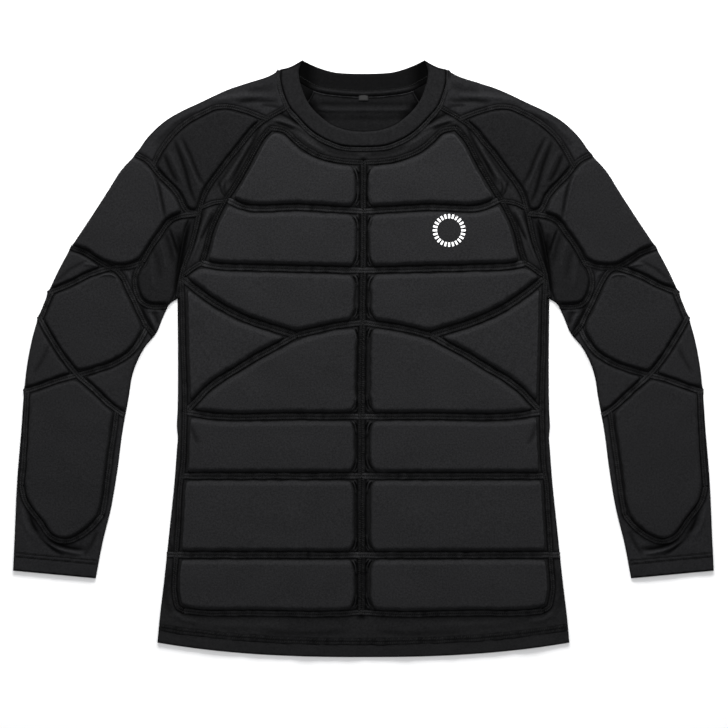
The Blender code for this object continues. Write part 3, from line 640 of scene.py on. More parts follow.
# Finishes: colour, roughness, specular level, sheen, bump of the knit and its pitch in mm.
FINISHES = {
    "pad_knit": ((0.0130, 0.0130, 0.0137), 0.68, 0.02, 0.008, 0.10, 0.9),
    "arm_pad_knit": ((0.0112, 0.0112, 0.0118), 0.70, 0.018, 0.008, 0.10, 0.9),
    "shoulder_knit": ((0.0078, 0.0078, 0.0082), 0.72, 0.015, 0.008, 0.12, 0.8),
    "knit": ((0.0096, 0.0096, 0.0100), 0.74, 0.015, 0.008, 0.14, 0.8),
    "sleeve_knit_right": ((0.0114, 0.0114, 0.0121), 0.74, 0.015, 0.008, 0.14, 0.8),
    "sleeve_knit_left": ((0.0114, 0.0114, 0.0121), 0.74, 0.015, 0.008, 0.14, 0.8),
    "collar_knit": ((0.0084, 0.0084, 0.0088), 0.76, 0.015, 0.008, 0.22, 1.1),
    # The back's knit is painted darker here, as the shade inside the neck where it shows.
    "shaded_inside_knit": ((0.0076, 0.0076, 0.0080), 0.76, 0.01, 0.004, 0.14, 0.8),
    "braid": ((0.0148, 0.0148, 0.0155), 0.78, 0.01, 0.0, 0.25, 1.3),
}

# Plain finishes: the two greys of the grain, roughness, specular level, scale of the grain and its
# bump in mm, and whether it takes the painted shade of the grooves.
PLAIN_FINISHES = {
    "thread": (0.008, 0.025, 0.6, 0.15, 900.0, 0.1, True),
    "dark_thread": (0.003, 0.008, 0.7, 0.1, 900.0, 0.1, False),
    "tab_satin": (0.006, 0.011, 0.6, 0.2, 1200.0, 0.05, False),
    "white_print": (0.78, 0.9, 0.5, 0.3, 500.0, 0.05, False),
    "floor_paper": (0.86, 0.87, 0.9, 0.05, 30.0, 0.02, False),
}

# The knit: the darkest and lightest flecks, the share and scale of the grain and of the slow
# mottling in them, the spread of the roughness, the bump of the grain in mm, the share of the colour
# left where the painted shade is deepest, the turn of the loops along a sleeve, and their stretch
# along each axis.
FLECKS = (0.62, 1.38)
GRAIN_SHARE = 0.7
GRAIN_SCALE = 480.0
MOTTLE_SHARE = 0.3
MOTTLE_SCALE = 14.0
ROUGH_SPREAD = 0.07
SHEEN_ROUGHNESS = 0.45
COARSE_BUMP = 0.35
GROOVE_TONE = 0.03
KNIT_TURN = {"sleeve_knit_right": -0.5, "sleeve_knit_left": 0.5}
LOOPS = {"X": 1.0, "Y": 1.25}

# The finish of each pad that differs from the usual pad_knit.
PAD_SKINS = {
    "shoulder": "shoulder_knit", "inner_arm": "shoulder_knit", "upper_arm": "arm_pad_knit",
    "elbow": "arm_pad_knit", "elbow_outer": "arm_pad_knit", "forearm": "arm_pad_knit",
    "forearm_outer": "arm_pad_knit", "forearm_inner": "arm_pad_knit",
}

# The camera looks straight down at the middle of the photo's frame, which is this wide in
# metres at the height of the cloth. The floor lies just under the shirt.
CAMERA_PLACE = (0.00075, -0.0067)
FRAME_WIDTH = 0.91
LENS = 135.0
SENSOR = 36.0
SIGHT_PLANE = 0.006
FLOOR_HALF = 6.0
FLOOR_DROP = -0.0003

# Studio lights: place, target, size and power; and the sky's colour and strength.
LIGHTS = {
    "key_softbox": ((0.0, 1.4, 0.88), (0.0, -0.1, 0.0), (1.8, 0.7), 56.0),
    "overhead": ((0.0, 0.3, 4.4), (0.0, 0.0, 0.0), (2.6, 2.6), 87.0),
}
WORLD = ((0.96, 0.97, 1.0), 0.31)


def bell(away, width, power=2):
    """1 on a line, and soon nought beyond a width from it."""
    return np.exp(-(away / width) ** power)


def clamped(share):
    """A share kept between nought and one."""
    return np.clip(share, 0.0, 1.0)


def soft_step(rise, softness):
    """Nought well below nought and one well above it, with a soft change between."""
    return 1.0 / (1.0 + np.exp(np.clip(-rise / softness, -30.0, 30.0)))


def spline(rows, step=SAMPLE_STEP):
    """Points along the smooth curve through the rows."""
    knots = np.array(rows, float)
    lengths = np.linalg.norm(np.diff(knots, axis=0), axis=1)
    place = np.concatenate(([0.0], np.cumsum(lengths)))
    slopes = np.gradient(knots, place, axis=0)
    points = []
    for i, length in enumerate(lengths):
        count = max(1, round(length / step))
        for t in np.arange(count) / count:
            start = (1 + 2 * t) * (1 - t) ** 2 * knots[i] + t * (1 - t) ** 2 * length * slopes[i]
            end = t * t * (3 - 2 * t) * knots[i + 1] + t * t * (t - 1) * length * slopes[i + 1]
            points.append(start + end)
    return np.array(points + [knots[-1]])


def hem_curve():
    """The hem, from the side fold to the centre, as a flat arch."""
    out = np.linspace(HALF_HEM, 0.0, HEM_SAMPLES)
    return np.column_stack((out, HEM_CENTRE + HEM_RISE * (out / HALF_HEM) ** HEM_CURVE))


def simplify(curve, error=FINE_CHORD_ERROR):
    """Drop points that lie within the error of the chord that replaces them."""
    if len(curve) < 3:
        return curve
    chord = curve[-1] - curve[0]
    reach = max(np.linalg.norm(chord), TINY)
    away = curve - curve[0]
    stray = np.abs(chord[0] * away[:, 1] - chord[1] * away[:, 0]) / reach
    worst = int(np.argmax(stray))
    if stray[worst] < error:
        return curve[[0, -1]]
    return np.vstack((simplify(curve[:worst + 1], error)[:-1], simplify(curve[worst:], error)))


def way_along(curve):
    """Length of a polyline up to each of its points."""
    return np.concatenate(([0.0], np.cumsum(np.linalg.norm(np.diff(curve, axis=0), axis=1))))


def even(curve, step):
    """The same line with its points a step apart."""
    places = way_along(curve)
    wanted = np.linspace(0.0, places[-1], max(2, round(places[-1] / step) + 1))
    return np.column_stack([np.interp(wanted, places, curve[:, k]) for k in range(curve.shape[1])])


def nearest(points, curve, reach=FAR):
    """Distance from each point to a polyline within its reach, and the way along the line."""
    best, along = np.full(len(points), FAR), np.zeros(len(points))
    close = within(points[:, 0], points[:, 1], curve.min(axis=0) - reach, curve.max(axis=0) + reach)
    x, y = points[close, 0], points[close, 1]
    gaps, ways = np.full(len(close), FAR), np.zeros(len(close))
    for a, b, start in zip(curve[:-1], curve[1:], way_along(curve)):
        near = within(x, y, np.minimum(a, b) - reach, np.maximum(a, b) + reach)
        run = b - a
        right, up = x[near] - a[0], y[near] - a[1]
        t = np.clip((right * run[0] + up * run[1]) / max(run @ run, TINY), 0.0, 1.0)
        gap = np.hypot(right - t * run[0], up - t * run[1])
        closer = gap < gaps[near]
        gaps[near[closer]] = gap[closer]
        ways[near[closer]] = start + t[closer] * np.linalg.norm(run)
    best[close], along[close] = gaps, ways
    return best, along


def within(x, y, low, high):
    """Numbers of the points in a box."""
    return np.flatnonzero((x > low[0]) & (x < high[0]) & (y > low[1]) & (y < high[1]))


def inside(points, ring):
    """Whether each point lies in a closed ring."""
    odd = np.zeros(len(points), bool)
    for a, b in zip(ring, np.roll(ring, -1, axis=0)):
        if a[1] == b[1]:
            continue
        rows = np.flatnonzero((a[1] > points[:, 1]) != (b[1] > points[:, 1]))
        cut = a[0] + (points[rows, 1] - a[1]) * (b[0] - a[0]) / (b[1] - a[1])
        odd[rows] ^= points[rows, 0] < cut
    return odd


def meeting(first, second):
    """Index on each of two curves where they come closest."""
    gaps = np.linalg.norm(first[:, None] - second[None], axis=2)
    return np.unravel_index(np.argmin(gaps), gaps.shape)


def mirrored(curve, hand):
    """A half-shirt curve on one side: hand is -1 for the wearer's right, +1 for the left."""
    return np.asarray(curve, float) * np.array((hand, 1.0))


def whole(curve):
    """A curve that ends on the centre line, from the wearer's right over to the left."""
    return np.vstack((mirrored(curve, -1), curve[::-1][1:]))


def bumped(fold, seams):
    """Push a folded edge out where the thickness of a seam wraps over it."""
    tangent = np.gradient(fold, axis=0)
    normal = np.column_stack((-tangent[:, 1], tangent[:, 0]))
    normal /= np.linalg.norm(normal, axis=1)[:, None]
    outward = np.sign(normal[:, 0])[:, None] * normal
    push = np.zeros(len(fold))
    for seam in seams:
        end = min((seam[0], seam[-1]), key=lambda p: np.min(np.linalg.norm(fold - p, axis=1)))
        away = np.linalg.norm(fold - end, axis=1)
        push = np.maximum(push, SEAM_BUMP * bell(away, SEAM_HALF_WIDTH))
    return fold + outward * push[:, None]


def smooth_curves():
    """Every named curve of the half shirt, sampled closely."""
    curves = {name: spline(rows) for name, rows in CURVES.items()}
    curves["hem"] = hem_curve()
    arm = ("shoulder_front", "elbow_top", "elbow_cross", "forearm_fall", "forearm_rise")
    curves["sleeve_fold"] = bumped(curves["sleeve_fold"], [curves[name] for name in arm])
    curves["side_fold"] = bumped(curves["side_fold"], [curves["belly_low"]])
    return curves


def field_ring(curves, names):
    """The seam pieces round one padded field, in order."""
    sides = []
    count = len(names)
    for i, name in enumerate(names):
        here = curves[name]
        start = meeting(here, curves[names[i - 1]])[0]
        end = meeting(here, curves[names[(i + 1) % count]])[0]
        side = here[start:end + 1] if start <= end else here[end:start + 1][::-1]
        sides.append(simplify(side))
    return sides


def channel_of(pad, name):
    """How far the padding of a field stays from the seam or fold of that name."""
    if (pad, name) in MARGINS:
        return MARGINS[pad, name]
    if name.endswith("_fold"):
        return OVER_THE_EDGE
    return SEAM_HALF.get(name, USUAL_HALF) + SEAM_CLEARS.get(name, SEAM_CLEAR)


def slide(up):
    """0 over the chest and 1 over the belly, with a soft change between."""
    share = clamped((DRIFT_ROWS[0] - up) / (DRIFT_ROWS[0] - DRIFT_ROWS[1]))
    return share * share * (3.0 - 2.0 * share)


def drifted(points):
    """Points moved to the wearer's right together with the centre seam."""
    moved = np.array(points, float)
    moved[:, 0] -= DRIFT * slide(moved[:, 1]) * bell(moved[:, 0], DRIFT_REACH)
    return moved


def half_of(name, points):
    """Half width of a seam's braid at each point."""
    half = np.full(len(points), SEAM_HALF.get(name, USUAL_HALF))
    return half + CENTRE_GAIN * slide(points[:, 1]) if name == "centre" else half


def centre_room(points):
    """How far the pads draw back from the centre seam: most at its crossings."""
    away = np.min(np.abs(points[:, 1:2] - np.array(CENTRE_CROSSINGS)), axis=1)
    return FLARE * bell(away, FLARE_RUN) + CENTRE_GAIN * slide(points[:, 1])


def centre_wave(points, seed):
    """The uneven edge of the pads beside the centre seam."""
    near = bell(points[:, 0], CENTRE_WAVE_REACH)
    return CENTRE_WAVE * near * unevenness(points, CENTRE_WAVE_SCALE, seed)


def facing(side, name, middle, kind):
    """Which way a side of a pad looks: to the neck, the hem, the arm or the centre seam."""
    if kind == "sleeve":
        return "sleeve"
    if name == "centre":
        return "centre"
    run = side[-1] - side[0]
    normal = np.array((run[1], -run[0])) / np.linalg.norm(run)
    if normal @ (side.mean(axis=0) - middle) < 0:
        normal = -normal
    if abs(normal[1]) < LOOKS_ALONG:
        return "arm"
    return "neck" if normal[1] > 0 else "hem"


def field_depth(points, sides, sloped=False):
    """Depth of each point inside the foam, softened at the corners; below nought outside it.

    Each side is its line, its channel, whether it is the centre seam, and its slope. The
    slopes of the sides, blended by how near they are, come with the depth if asked for.
    """
    total = np.full(len(points), TINY)
    blend = total[:, None] * sides[0][3]
    sense = np.where(inside(points, np.vstack([side[0] for side in sides])), 1.0, -1.0)
    for line, channel, central, slope in sides:
        away = sense * np.minimum(nearest(points, line, FIELD_SIGHT)[0], FIELD_SIGHT) - channel
        if central:
            away = away - centre_room(points)
        share = np.exp(-np.maximum(away, -FIELD_BEYOND) / CORNER_SOFTNESS)
        total += share
        blend += share[:, None] * slope
    depth = -CORNER_SOFTNESS * np.log(total)
    return (depth, blend / total[:, None]) if sloped else depth


def pad_rise(depth, height, slope):
    """Height of the foam over the cloth at a depth inside its edge."""
    width, turn = slope[:, 0], slope[:, 2]
    shoulder = clamped(depth / width)
    wall = np.sqrt(clamped(depth / PAD_WALL_REACH))
    rounded = turn + (1.0 - turn) * (1.0 - ((1.0 - shoulder) / (1.0 - turn)) ** 2) / 2
    bevel = np.where(shoulder < turn, shoulder, rounded) / (turn + (1.0 - turn) / 2)
    crown = CROWN * (1.0 - np.exp(-np.maximum(depth, 0.0) / CROWN_REACH))
    rise = height * (PAD_WALL * wall + (1.0 - PAD_WALL) * bevel)
    return rise + crown * (shoulder > 0)


def offset(chain, gap):
    """A polyline moved to its left by a gap."""
    run = np.diff(chain, axis=0)
    run /= np.linalg.norm(run, axis=1)[:, None]
    left = np.column_stack((-run[:, 1], run[:, 0]))
    after = np.vstack((left, left[-1:]))
    way = np.vstack((left[:1], left)) + after
    return chain + gap * way / np.sum(way * after, axis=1)[:, None]


def crossing(a, b, c, d):
    """Where the line through a and b meets the line through c and d."""
    first, second = b - a, d - c
    area = first[0] * second[1] - first[1] * second[0]
    if abs(area) < NEARLY_STRAIGHT * np.linalg.norm(first) * np.linalg.norm(second):
        return (b + c) / 2
    t = ((c[0] - a[0]) * second[1] - (c[1] - a[1]) * second[0]) / area
    return a + t * first


def inset(chains, gaps):
    """Move each side of an outline inwards by its own gap and meet them again at the corners."""
    moved = [offset(chain, gap) for chain, gap in zip(chains, gaps)]
    for i, chain in enumerate(moved):
        last = moved[i - 1]
        corner = crossing(last[-2], last[-1], chain[0], chain[1])
        last[-1] = corner
        chain[0] = corner
    return moved


def outline_of(chains):
    """One closed ring from sides that share their corners."""
    return np.vstack([chain[:-1] for chain in chains])


def counter_clockwise(chains):
    """Turn a ring of chains round if it runs clockwise."""
    return chains if ring_area(outline_of(chains)) > 0 else [c[::-1] for c in chains[::-1]]


def ring_area(ring):
    """Area in a closed ring, above nought if it runs counter-clockwise."""
    following = np.roll(ring, -1, axis=0)
    return np.sum(ring[:, 0] * following[:, 1] - ring[:, 1] * following[:, 0]) / 2


def turned(chains):
    """Run four chains the other way round, still as fold, end, fold, end."""
    back = [chain[::-1] for chain in chains[::-1]]
    return back[1:] + back[:1]


def unevenness(points, scale, seed):
    """A soft random field of about one in height, with hills about a scale across."""
    random = np.random.default_rng(seed)
    angle = random.uniform(0, 2 * np.pi, WAVES)
    pace = 2 * np.pi / (scale * random.uniform(*WAVE_LENGTHS, WAVES))
    shift = random.uniform(0, 2 * np.pi, WAVES)
    across = points[:, :1] * np.cos(angle) + points[:, 1:2] * np.sin(angle)
    return np.cos(across * pace + shift).sum(axis=1) / np.sqrt(WAVES / 2)


def grid(ring, step):
    """Points of an even triangle grid over a ring's box."""
    low, high = ring.min(axis=0), ring.max(axis=0)
    rows = np.arange(low[1], high[1], step * TRIANGLE_ROW)
    x, y = np.meshgrid(np.arange(low[0], high[0], step), rows)
    x = x + (np.arange(len(rows)) % 2)[:, None] * step / 2
    return np.column_stack((x.ravel(), y.ravel()))


def clear_of(points, ring, gap):
    """The points that lie in a ring and keep a gap from its edge."""
    points = points[inside(points, ring)]
    return points[nearest(points, np.vstack((ring, ring[:1])), 2 * gap)[0] > gap]


def disc(ring, extra):
    """Triangles of a flat region from its ring and some points in it."""
    corners = [Vector(p) for p in np.vstack((ring, extra))]
    count = len(ring)
    edges = [(i, (i + 1) % count) for i in range(count)]
    flat, _, faces, origin, _, _ = delaunay_2d_cdt(corners, edges, [], 1, WELD)
    place = np.zeros(count, int)
    for new, olds in enumerate(origin):
        for old in olds:
            if old < count:
                place[old] = new
    return np.array([tuple(p) for p in flat]), np.array(faces), place


class Shell:
    """A closed piece, gathered from regions and the strips between their edges."""

    def __init__(self, shade):
        self.points = []
        self.faces = []
        self.shades = []
        self.shade = shade

    def add(self, flat, heights):
        """Add points and give back their numbers."""
        first = len(self.points)
        self.points += np.column_stack((flat, heights)).tolist()
        self.shades += self.shade(flat).tolist()
        return np.arange(first, len(self.points))

    def region(self, ring, extra, height, shade=None):
        """Fill a ring at the heights of a function and give back the numbers of its rim."""
        self.shade = shade or self.shade
        flat, faces, place = disc(ring, extra)
        numbers = self.add(flat, height(flat))
        self.faces += numbers[faces].tolist()
        return numbers[place]

    def strip(self, first, second):
        """Join two rows of points with quads."""
        self.faces += np.column_stack((first[:-1], first[1:], second[1:], second[:-1])).tolist()

    def band(self, first, second):
        """Join two closed rings of points with quads."""
        self.strip(np.append(first, first[0]), np.append(second, second[0]))

    def finish(self, name, material, slot):
        """Make the piece, with its faces pointing out."""
        return made(name, self.points, self.faces, material, self.shades)


def placed(name, data):
    """A new object in the scene."""
    piece = bpy.data.objects.new(name, data)
    bpy.context.scene.collection.objects.link(piece)
    return piece


def made(name, points, faces, material, shades=(), smooth=True):
    """An object in metres from points in millimetres, finished and riding on the shirt."""
    data = bpy.data.meshes.new(name)
    data.from_pydata((drifted(points) * MM).tolist(), [], [tuple(f) for f in faces])
    shape = bmesh.new()
    shape.from_mesh(data)
    bmesh.ops.recalc_face_normals(shape, faces=shape.faces)
    shape.to_mesh(data)
    shape.free()
    if smooth:
        data.shade_smooth()
    data.materials.append(material)
    # Each point keeps its painted shade, which the finish multiplies into its colour.
    light = data.attributes.new("shade", "FLOAT", "POINT")
    light.data.foreach_set("value", np.array(shades if len(shades) else [1.0] * len(points), float))
    return worn(placed(name, data))


def worn(piece):
    """Let a piece ride on the shirt."""
    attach(piece, "root")
    return piece


class Face:
    """Heights of one face of the cloth and its painted shade: seams pull it in and creases shape it.

    Seams are lines with the names of their seams, and bands are hems with their reach and lift. Rows
    are lines of stitches with a half width and how much darker the face is painted along them. Edges
    are lines beside which the face is painted darker, as shade, and the tone is a painted shade for
    how open the whole face lies to the light. The sense is -1 for a face that looks down.
    """

    def __init__(self, kind, base, hands, seams=(), bands=(), rows=(), edges=(), seed=1,
                 sense=1.0, tone=1.0):
        self.base = base
        self.seams = seams
        self.bands = bands
        self.rows = rows
        self.edges = edges
        self.seed = seed
        self.sense = sense
        self.tone = tone
        self.creases = []
        for where, sides, depth, width, knots in CREASES.values():
            if where != kind:
                continue
            line = simplify(spline(knots))
            self.creases += [(mirrored(line, hand), depth, width) for hand in hands if hand in sides]
        self.tucks = tucks() if kind == "front" else []

    def relief(self, points):
        """How far the face stands off its base."""
        rise = np.zeros(len(points))
        for high, scale, shift in LOOSE_WAVES:
            rise += high * unevenness(points, scale, self.seed + shift)
        for crease in self.creases:
            rise += folded(points, *crease)
        dip = np.zeros(len(points))
        for seam, name in self.seams:
            reach = half_of(name, points) + SEAM_DIP_CLEAR
            dip = np.maximum(dip, bell(nearest(points, seam, SEAM_SIGHT)[0], reach))
        rise = rise * (1.0 - dip) - SEAM_DIP * dip
        for tuck in self.tucks:
            rise += folded(points, *tuck)
        for edge, reach, lift in self.bands:
            away = nearest(points, edge, 2 * reach)[0]
            rise += lift * soft_step(reach - away, BAND_SOFTNESS)
        for line, half, _ in self.rows:
            rise -= ROW_DIP * bell(nearest(points, line, 3 * half)[0], half)
        return rise

    def shade(self, points):
        """Painted shade of the face, for how open it lies to the light: least beside the braid of a
        seam.
        """
        shade = np.full(len(points), self.tone)
        for seam, name in self.seams:
            reach = half_of(name, points) + (CENTRE_GROOVE if name == "centre" else GROOVE_CLEAR)
            groove = bell(nearest(points, seam, SEAM_SIGHT)[0], reach, 4)
            shade = np.minimum(shade, self.tone * (1.0 - groove))
        shade = creased(points, self.creases + self.tucks, shade)
        for line, half, dark in self.rows:
            shade *= 1.0 - dark * bell(nearest(points, line, 3 * half)[0], half, 4)
        for edge in self.edges:
            shade *= edge_shade(nearest(points, edge, 4 * EDGE_SHADE_REACH)[0])
        return shade

    def height(self, points):
        """Height of the face over the table."""
        rise = self.relief(points)
        if self.sense < 0:
            return self.base + np.clip(-rise * UNDER_SHARE, 0.0, UNDER_MOST)
        return self.base + np.clip(rise, *RELIEF_LIMITS)


def creased(points, creases, shade):
    """The painted shade of a face with its creases: troughs are painted darker and ridges painted
    lighter, as the light on them.
    """
    light = np.zeros(len(points))
    for line, depth, width in creases:
        mark = folded(points, line, 1.0, CREASE_BREADTH * width) ** CREASE_BLUNT
        if depth < 0:
            shade = shade * (1.0 - min(DEEPEST_SHADE, -CREASE_SHADE * depth) * mark)
        else:
            light = np.maximum(light, RIDGE_LIGHT * depth * mark)
    return shade + light


def edge_shade(away):
    """The painted shade of the last millimetres before a free edge."""
    return 1.0 - EDGE_SHADE * bell(away, EDGE_SHADE_REACH)


def tucks():
    """The small tucks at every crossing of the centre seam, none quite like the next."""
    random = np.random.default_rng(TUCK_SEED)
    beyond = {CENTRE_CROSSINGS[0]: 1, CENTRE_CROSSINGS[-1]: -1}
    found = []
    for up in CENTRE_CROSSINGS:
        for hand in (-1, 1):
            for rise in (-1, 1):
                if rise == beyond.get(up):
                    continue
                stretch = random.uniform(*TUCK_STRETCH)
                for depth, width, rows in TUCKS:
                    line = np.array(rows) * (hand, rise * stretch) + (0.0, up)
                    line += random.uniform(-TUCK_JITTER, TUCK_JITTER, line.shape)
                    found.append((spline(line, 1.0), depth * random.uniform(*TUCK_DEPTHS), width))
    return found


def folded(points, line, depth, width):
    """The rise of one crease, which fades out towards its ends."""
    away, along = nearest(points, line, 3 * width)
    total = way_along(line)[-1]
    taper = clamped(np.minimum(along, total - along) / (CREASE_FADE * total))
    return depth * bell(away, width) * taper * (2.0 - taper)


class Pad:
    """One foam pad under the knit: its field, its heights and its mesh."""

    def __init__(self, curves, name, hand, seed):
        kind, self.height, middle, names = PADS[name]
        self.name = name
        self.kind = kind
        self.hand = hand
        self.seed = seed
        self.middle = mirrored(middle, hand)
        self.sides = []
        for side, edge in zip(field_ring(curves, names), names):
            line = mirrored(side, hand)
            slope = np.array(SLOPES[facing(line, edge, self.middle, kind)])
            channel = channel_of(name, edge)
            if edge == "centre":
                channel += CENTRE_ROOM.get((name, hand), 0.0)
            self.sides.append((line, channel, edge == "centre", slope))
        self.ring = np.vstack([side[0] for side in self.sides])
        self.folds = [side[0] for side in self.sides if side[1] == OVER_THE_EDGE]
        self.creases = [
            (mirrored(simplify(spline(rows)), hand), depth, width)
            for depth, width, rows in PAD_CREASES.get(name, ())]
        self.tucks = []
        if kind == "front_body":
            self.tucks = [
                row for row in tucks() if row[0][:, 0].mean() * hand > 0
                and np.abs(self.ring[:, 1] - row[0][:, 1].mean()).min() < TUCK_BOX[1]]

    def field(self, points):
        """Depth inside the foam and the slope there, with the wander of its hand-laid edge."""
        still = 1.0 - self.wrap(points)
        depth, slope = field_depth(points, self.sides, True)
        wave = still * PAD_WAVE * unevenness(points, PAD_WAVE_SCALE, self.seed)
        if self.kind == "front_body":
            wave = wave + centre_wave(points, self.seed)
        return depth + wave, slope

    def depth(self, points):
        """Depth inside the foam."""
        return self.field(points)[0]

    def rings(self):
        """Closed rings at the contour depths, found along rays from the middle."""
        angle = np.linspace(0.0, 2 * np.pi, RAYS, endpoint=False)
        way = np.column_stack((np.cos(angle), np.sin(angle)))
        reach = np.linalg.norm(self.ring - self.middle, axis=1).max() + RAY_BEYOND
        steps = np.arange(0.0, reach, RAY_STEP)
        points = self.middle + way[:, None, :] * steps[None, :, None]
        depth = self.depth(points.reshape(-1, 2)).reshape(RAYS, -1)
        rows = np.arange(RAYS)
        found = []
        for contour in PAD_LEVELS:
            below = depth < contour
            if np.any(below[:, 0]):
                break
            last = np.argmax(below, axis=1)
            high, low = depth[rows, last - 1], depth[rows, last]
            place = steps[last - 1] + RAY_STEP * (high - contour) / np.maximum(high - low, TINY)
            ring = self.middle + way * place[:, None]
            found.append(even(np.vstack((ring, ring[:1])), PAD_RIM_STEP)[:-1])
        return found

    def wrap(self, points):
        """How far the pad hangs down over a folded edge: 1 at the edge and 0 inside."""
        hang = np.zeros(len(points))
        for fold in self.folds:
            away = nearest(points, fold, 2 * WRAP_REACH)[0]
            hang = np.maximum(hang, clamped(1.0 - away / WRAP_REACH) ** 2)
        return hang

    def top(self, points):
        """Height of the pad's upper face over the table."""
        depth, slope = self.field(points)
        foot = FRONT_TOP - WRAP_DROP * self.wrap(points)
        rise = pad_rise(np.maximum(depth, 0.0), self.height + FRONT_TOP - foot, slope)
        soft = PUCKER * np.exp(-np.maximum(depth, 0.0) / PUCKER_REACH) * unevenness(
            points, PUCKER_SCALE, self.seed + 20)
        slow = FOAM_WAVE * unevenness(points, FOAM_SCALE, self.seed + 40)
        for crease in self.creases:
            slow = slow + folded(points, *crease)
        pinched = np.zeros(len(points))
        for tuck in self.tucks:
            pinched = pinched + TUCK_ON_PAD * folded(points, *tuck)
        inner = clamped(depth / CREASES_FROM)
        edge = clamped(depth) * self.rim(depth)
        return foot + rise + inner * (soft + slow) + edge * pinched

    def rim(self, depth):
        """How strongly the tucks mark the pad: wholly at its edge, and not further in."""
        whole_until, fade = TUCK_RIM
        return clamped(whole_until - depth / fade)

    def shade(self, points):
        """Painted shade of the pad, for how open it lies to the light: least at its foot, with a
        painted highlight on the rim of some sides.
        """
        depth, slope = self.field(points)
        foot = np.sqrt(clamped((depth - FOOT_DARK) / slope[:, 1]))
        # A painted highlight on the rim, where the slope catches the light.
        foot = foot * (1.0 + slope[:, 3] * bell(depth - RIM_PLACE[0], RIM_PLACE[1]))
        shade = creased(points, self.creases, np.maximum(foot, self.wrap(points)))
        shade += self.rim(depth) * (creased(points, self.tucks, shade) - shade)
        for fold in self.folds:
            away = nearest(points, fold, WRAP_REACH)[0]
            away *= np.where(inside(points, self.ring), 1.0, -1.0)
            shade = shade * edge_shade(np.maximum(away - OVER_THE_EDGE, 0.0))
        return shade

    def crease_points(self):
        """Close rows of points along the creases of the pad."""
        rows = [NO_POINTS]
        for line, _, width in self.creases + self.tucks:
            path = even(line, RING_STEP)
            rows += [offset(path, gap * width) for gap in CREASE_ROWS]
        points = np.vstack(rows)
        return points[self.depth(points) > CREASE_POINTS_FROM] if len(points) else points

    def make(self, material, slot):
        """Mesh of the pad, closed below by a face that sits in the cloth."""
        rings = self.rings()
        rim = rings[0]
        grid_points = grid(rim, PAD_GRID)
        least = PAD_LEVELS[len(rings) - 1] + PAD_GRID_CLEAR
        deep = field_depth(grid_points, self.sides) > least
        grid_points = grid_points[inside(grid_points, rim) & deep]
        shell = Shell(self.shade)
        inner_points = np.vstack(rings[1:] + [grid_points, self.crease_points()])
        upper = shell.region(rim, inner_points, self.top)
        foot = FRONT_TOP - WRAP_DROP * self.wrap(rim) - PAD_SINK
        lower_rim = shell.add(rim + (self.middle - rim) * PAD_TAPER, foot)
        shell.band(upper, lower_rim)
        _, faces, place = disc(rim, NO_POINTS)
        shell.faces += lower_rim[np.argsort(place)][faces].tolist()
        pad = shell.finish("pad_" + self.name + "_" + HANDS[self.hand], material, slot)
        return pad


def face_points(ring, pads, fine):
    """Points inside a cloth face: close together in the open and far apart under the pads."""
    near = clear_of(grid(ring, fine), ring, EDGE_CLEAR * fine)
    far = clear_of(grid(ring, COARSE_GRID), ring, COARSE_GRID)
    open_ground = np.ones(len(near), bool)
    hidden = np.zeros(len(far), bool)
    for pad in pads:
        for points, marks, least, mark in (
                (near, open_ground, UNDER_PAD, False),
                (far, hidden, UNDER_PAD + COARSE_GRID / 2, True)):
            rows = np.flatnonzero(inside(points, pad.ring))
            marks[rows[field_depth(points[rows], pad.sides) > least]] = mark
    return np.vstack((near[open_ground], far[hidden]))


def roll(step, steps):
    """Turn of one step round a rounded edge, as its sine and cosine."""
    angle = 0.5 * np.pi * step / steps
    return np.sin(angle), np.cos(angle)


def plate(chains, edges, outer, inner, outer_points, inner_points, shade):
    """A panel with a worked outer face, rounded over its free edges to the inner face.

    Each free edge is its radius and its ease, and a sewn edge is None.
    """
    shell = Shell(shade)
    rings = []
    for step in range(EDGE_STEPS + 1):
        sine, _ = roll(step, EDGE_STEPS)
        gaps = [edge[0] * (1.0 - sine) - edge[1] if edge else SEAM_GAP / 2 for edge in edges]
        rings.append(outline_of(inset(chains, gaps)))
    last = shell.region(rings[0], outer_points, outer)
    high = outer(rings[0])
    for step in range(1, EDGE_STEPS):
        low = inner(rings[step])
        row = shell.add(rings[step], low + (high - low) * roll(step, EDGE_STEPS)[1])
        shell.band(last, row)
        last = row
    shell.band(last, shell.region(rings[-1], inner_points, inner))
    return shell


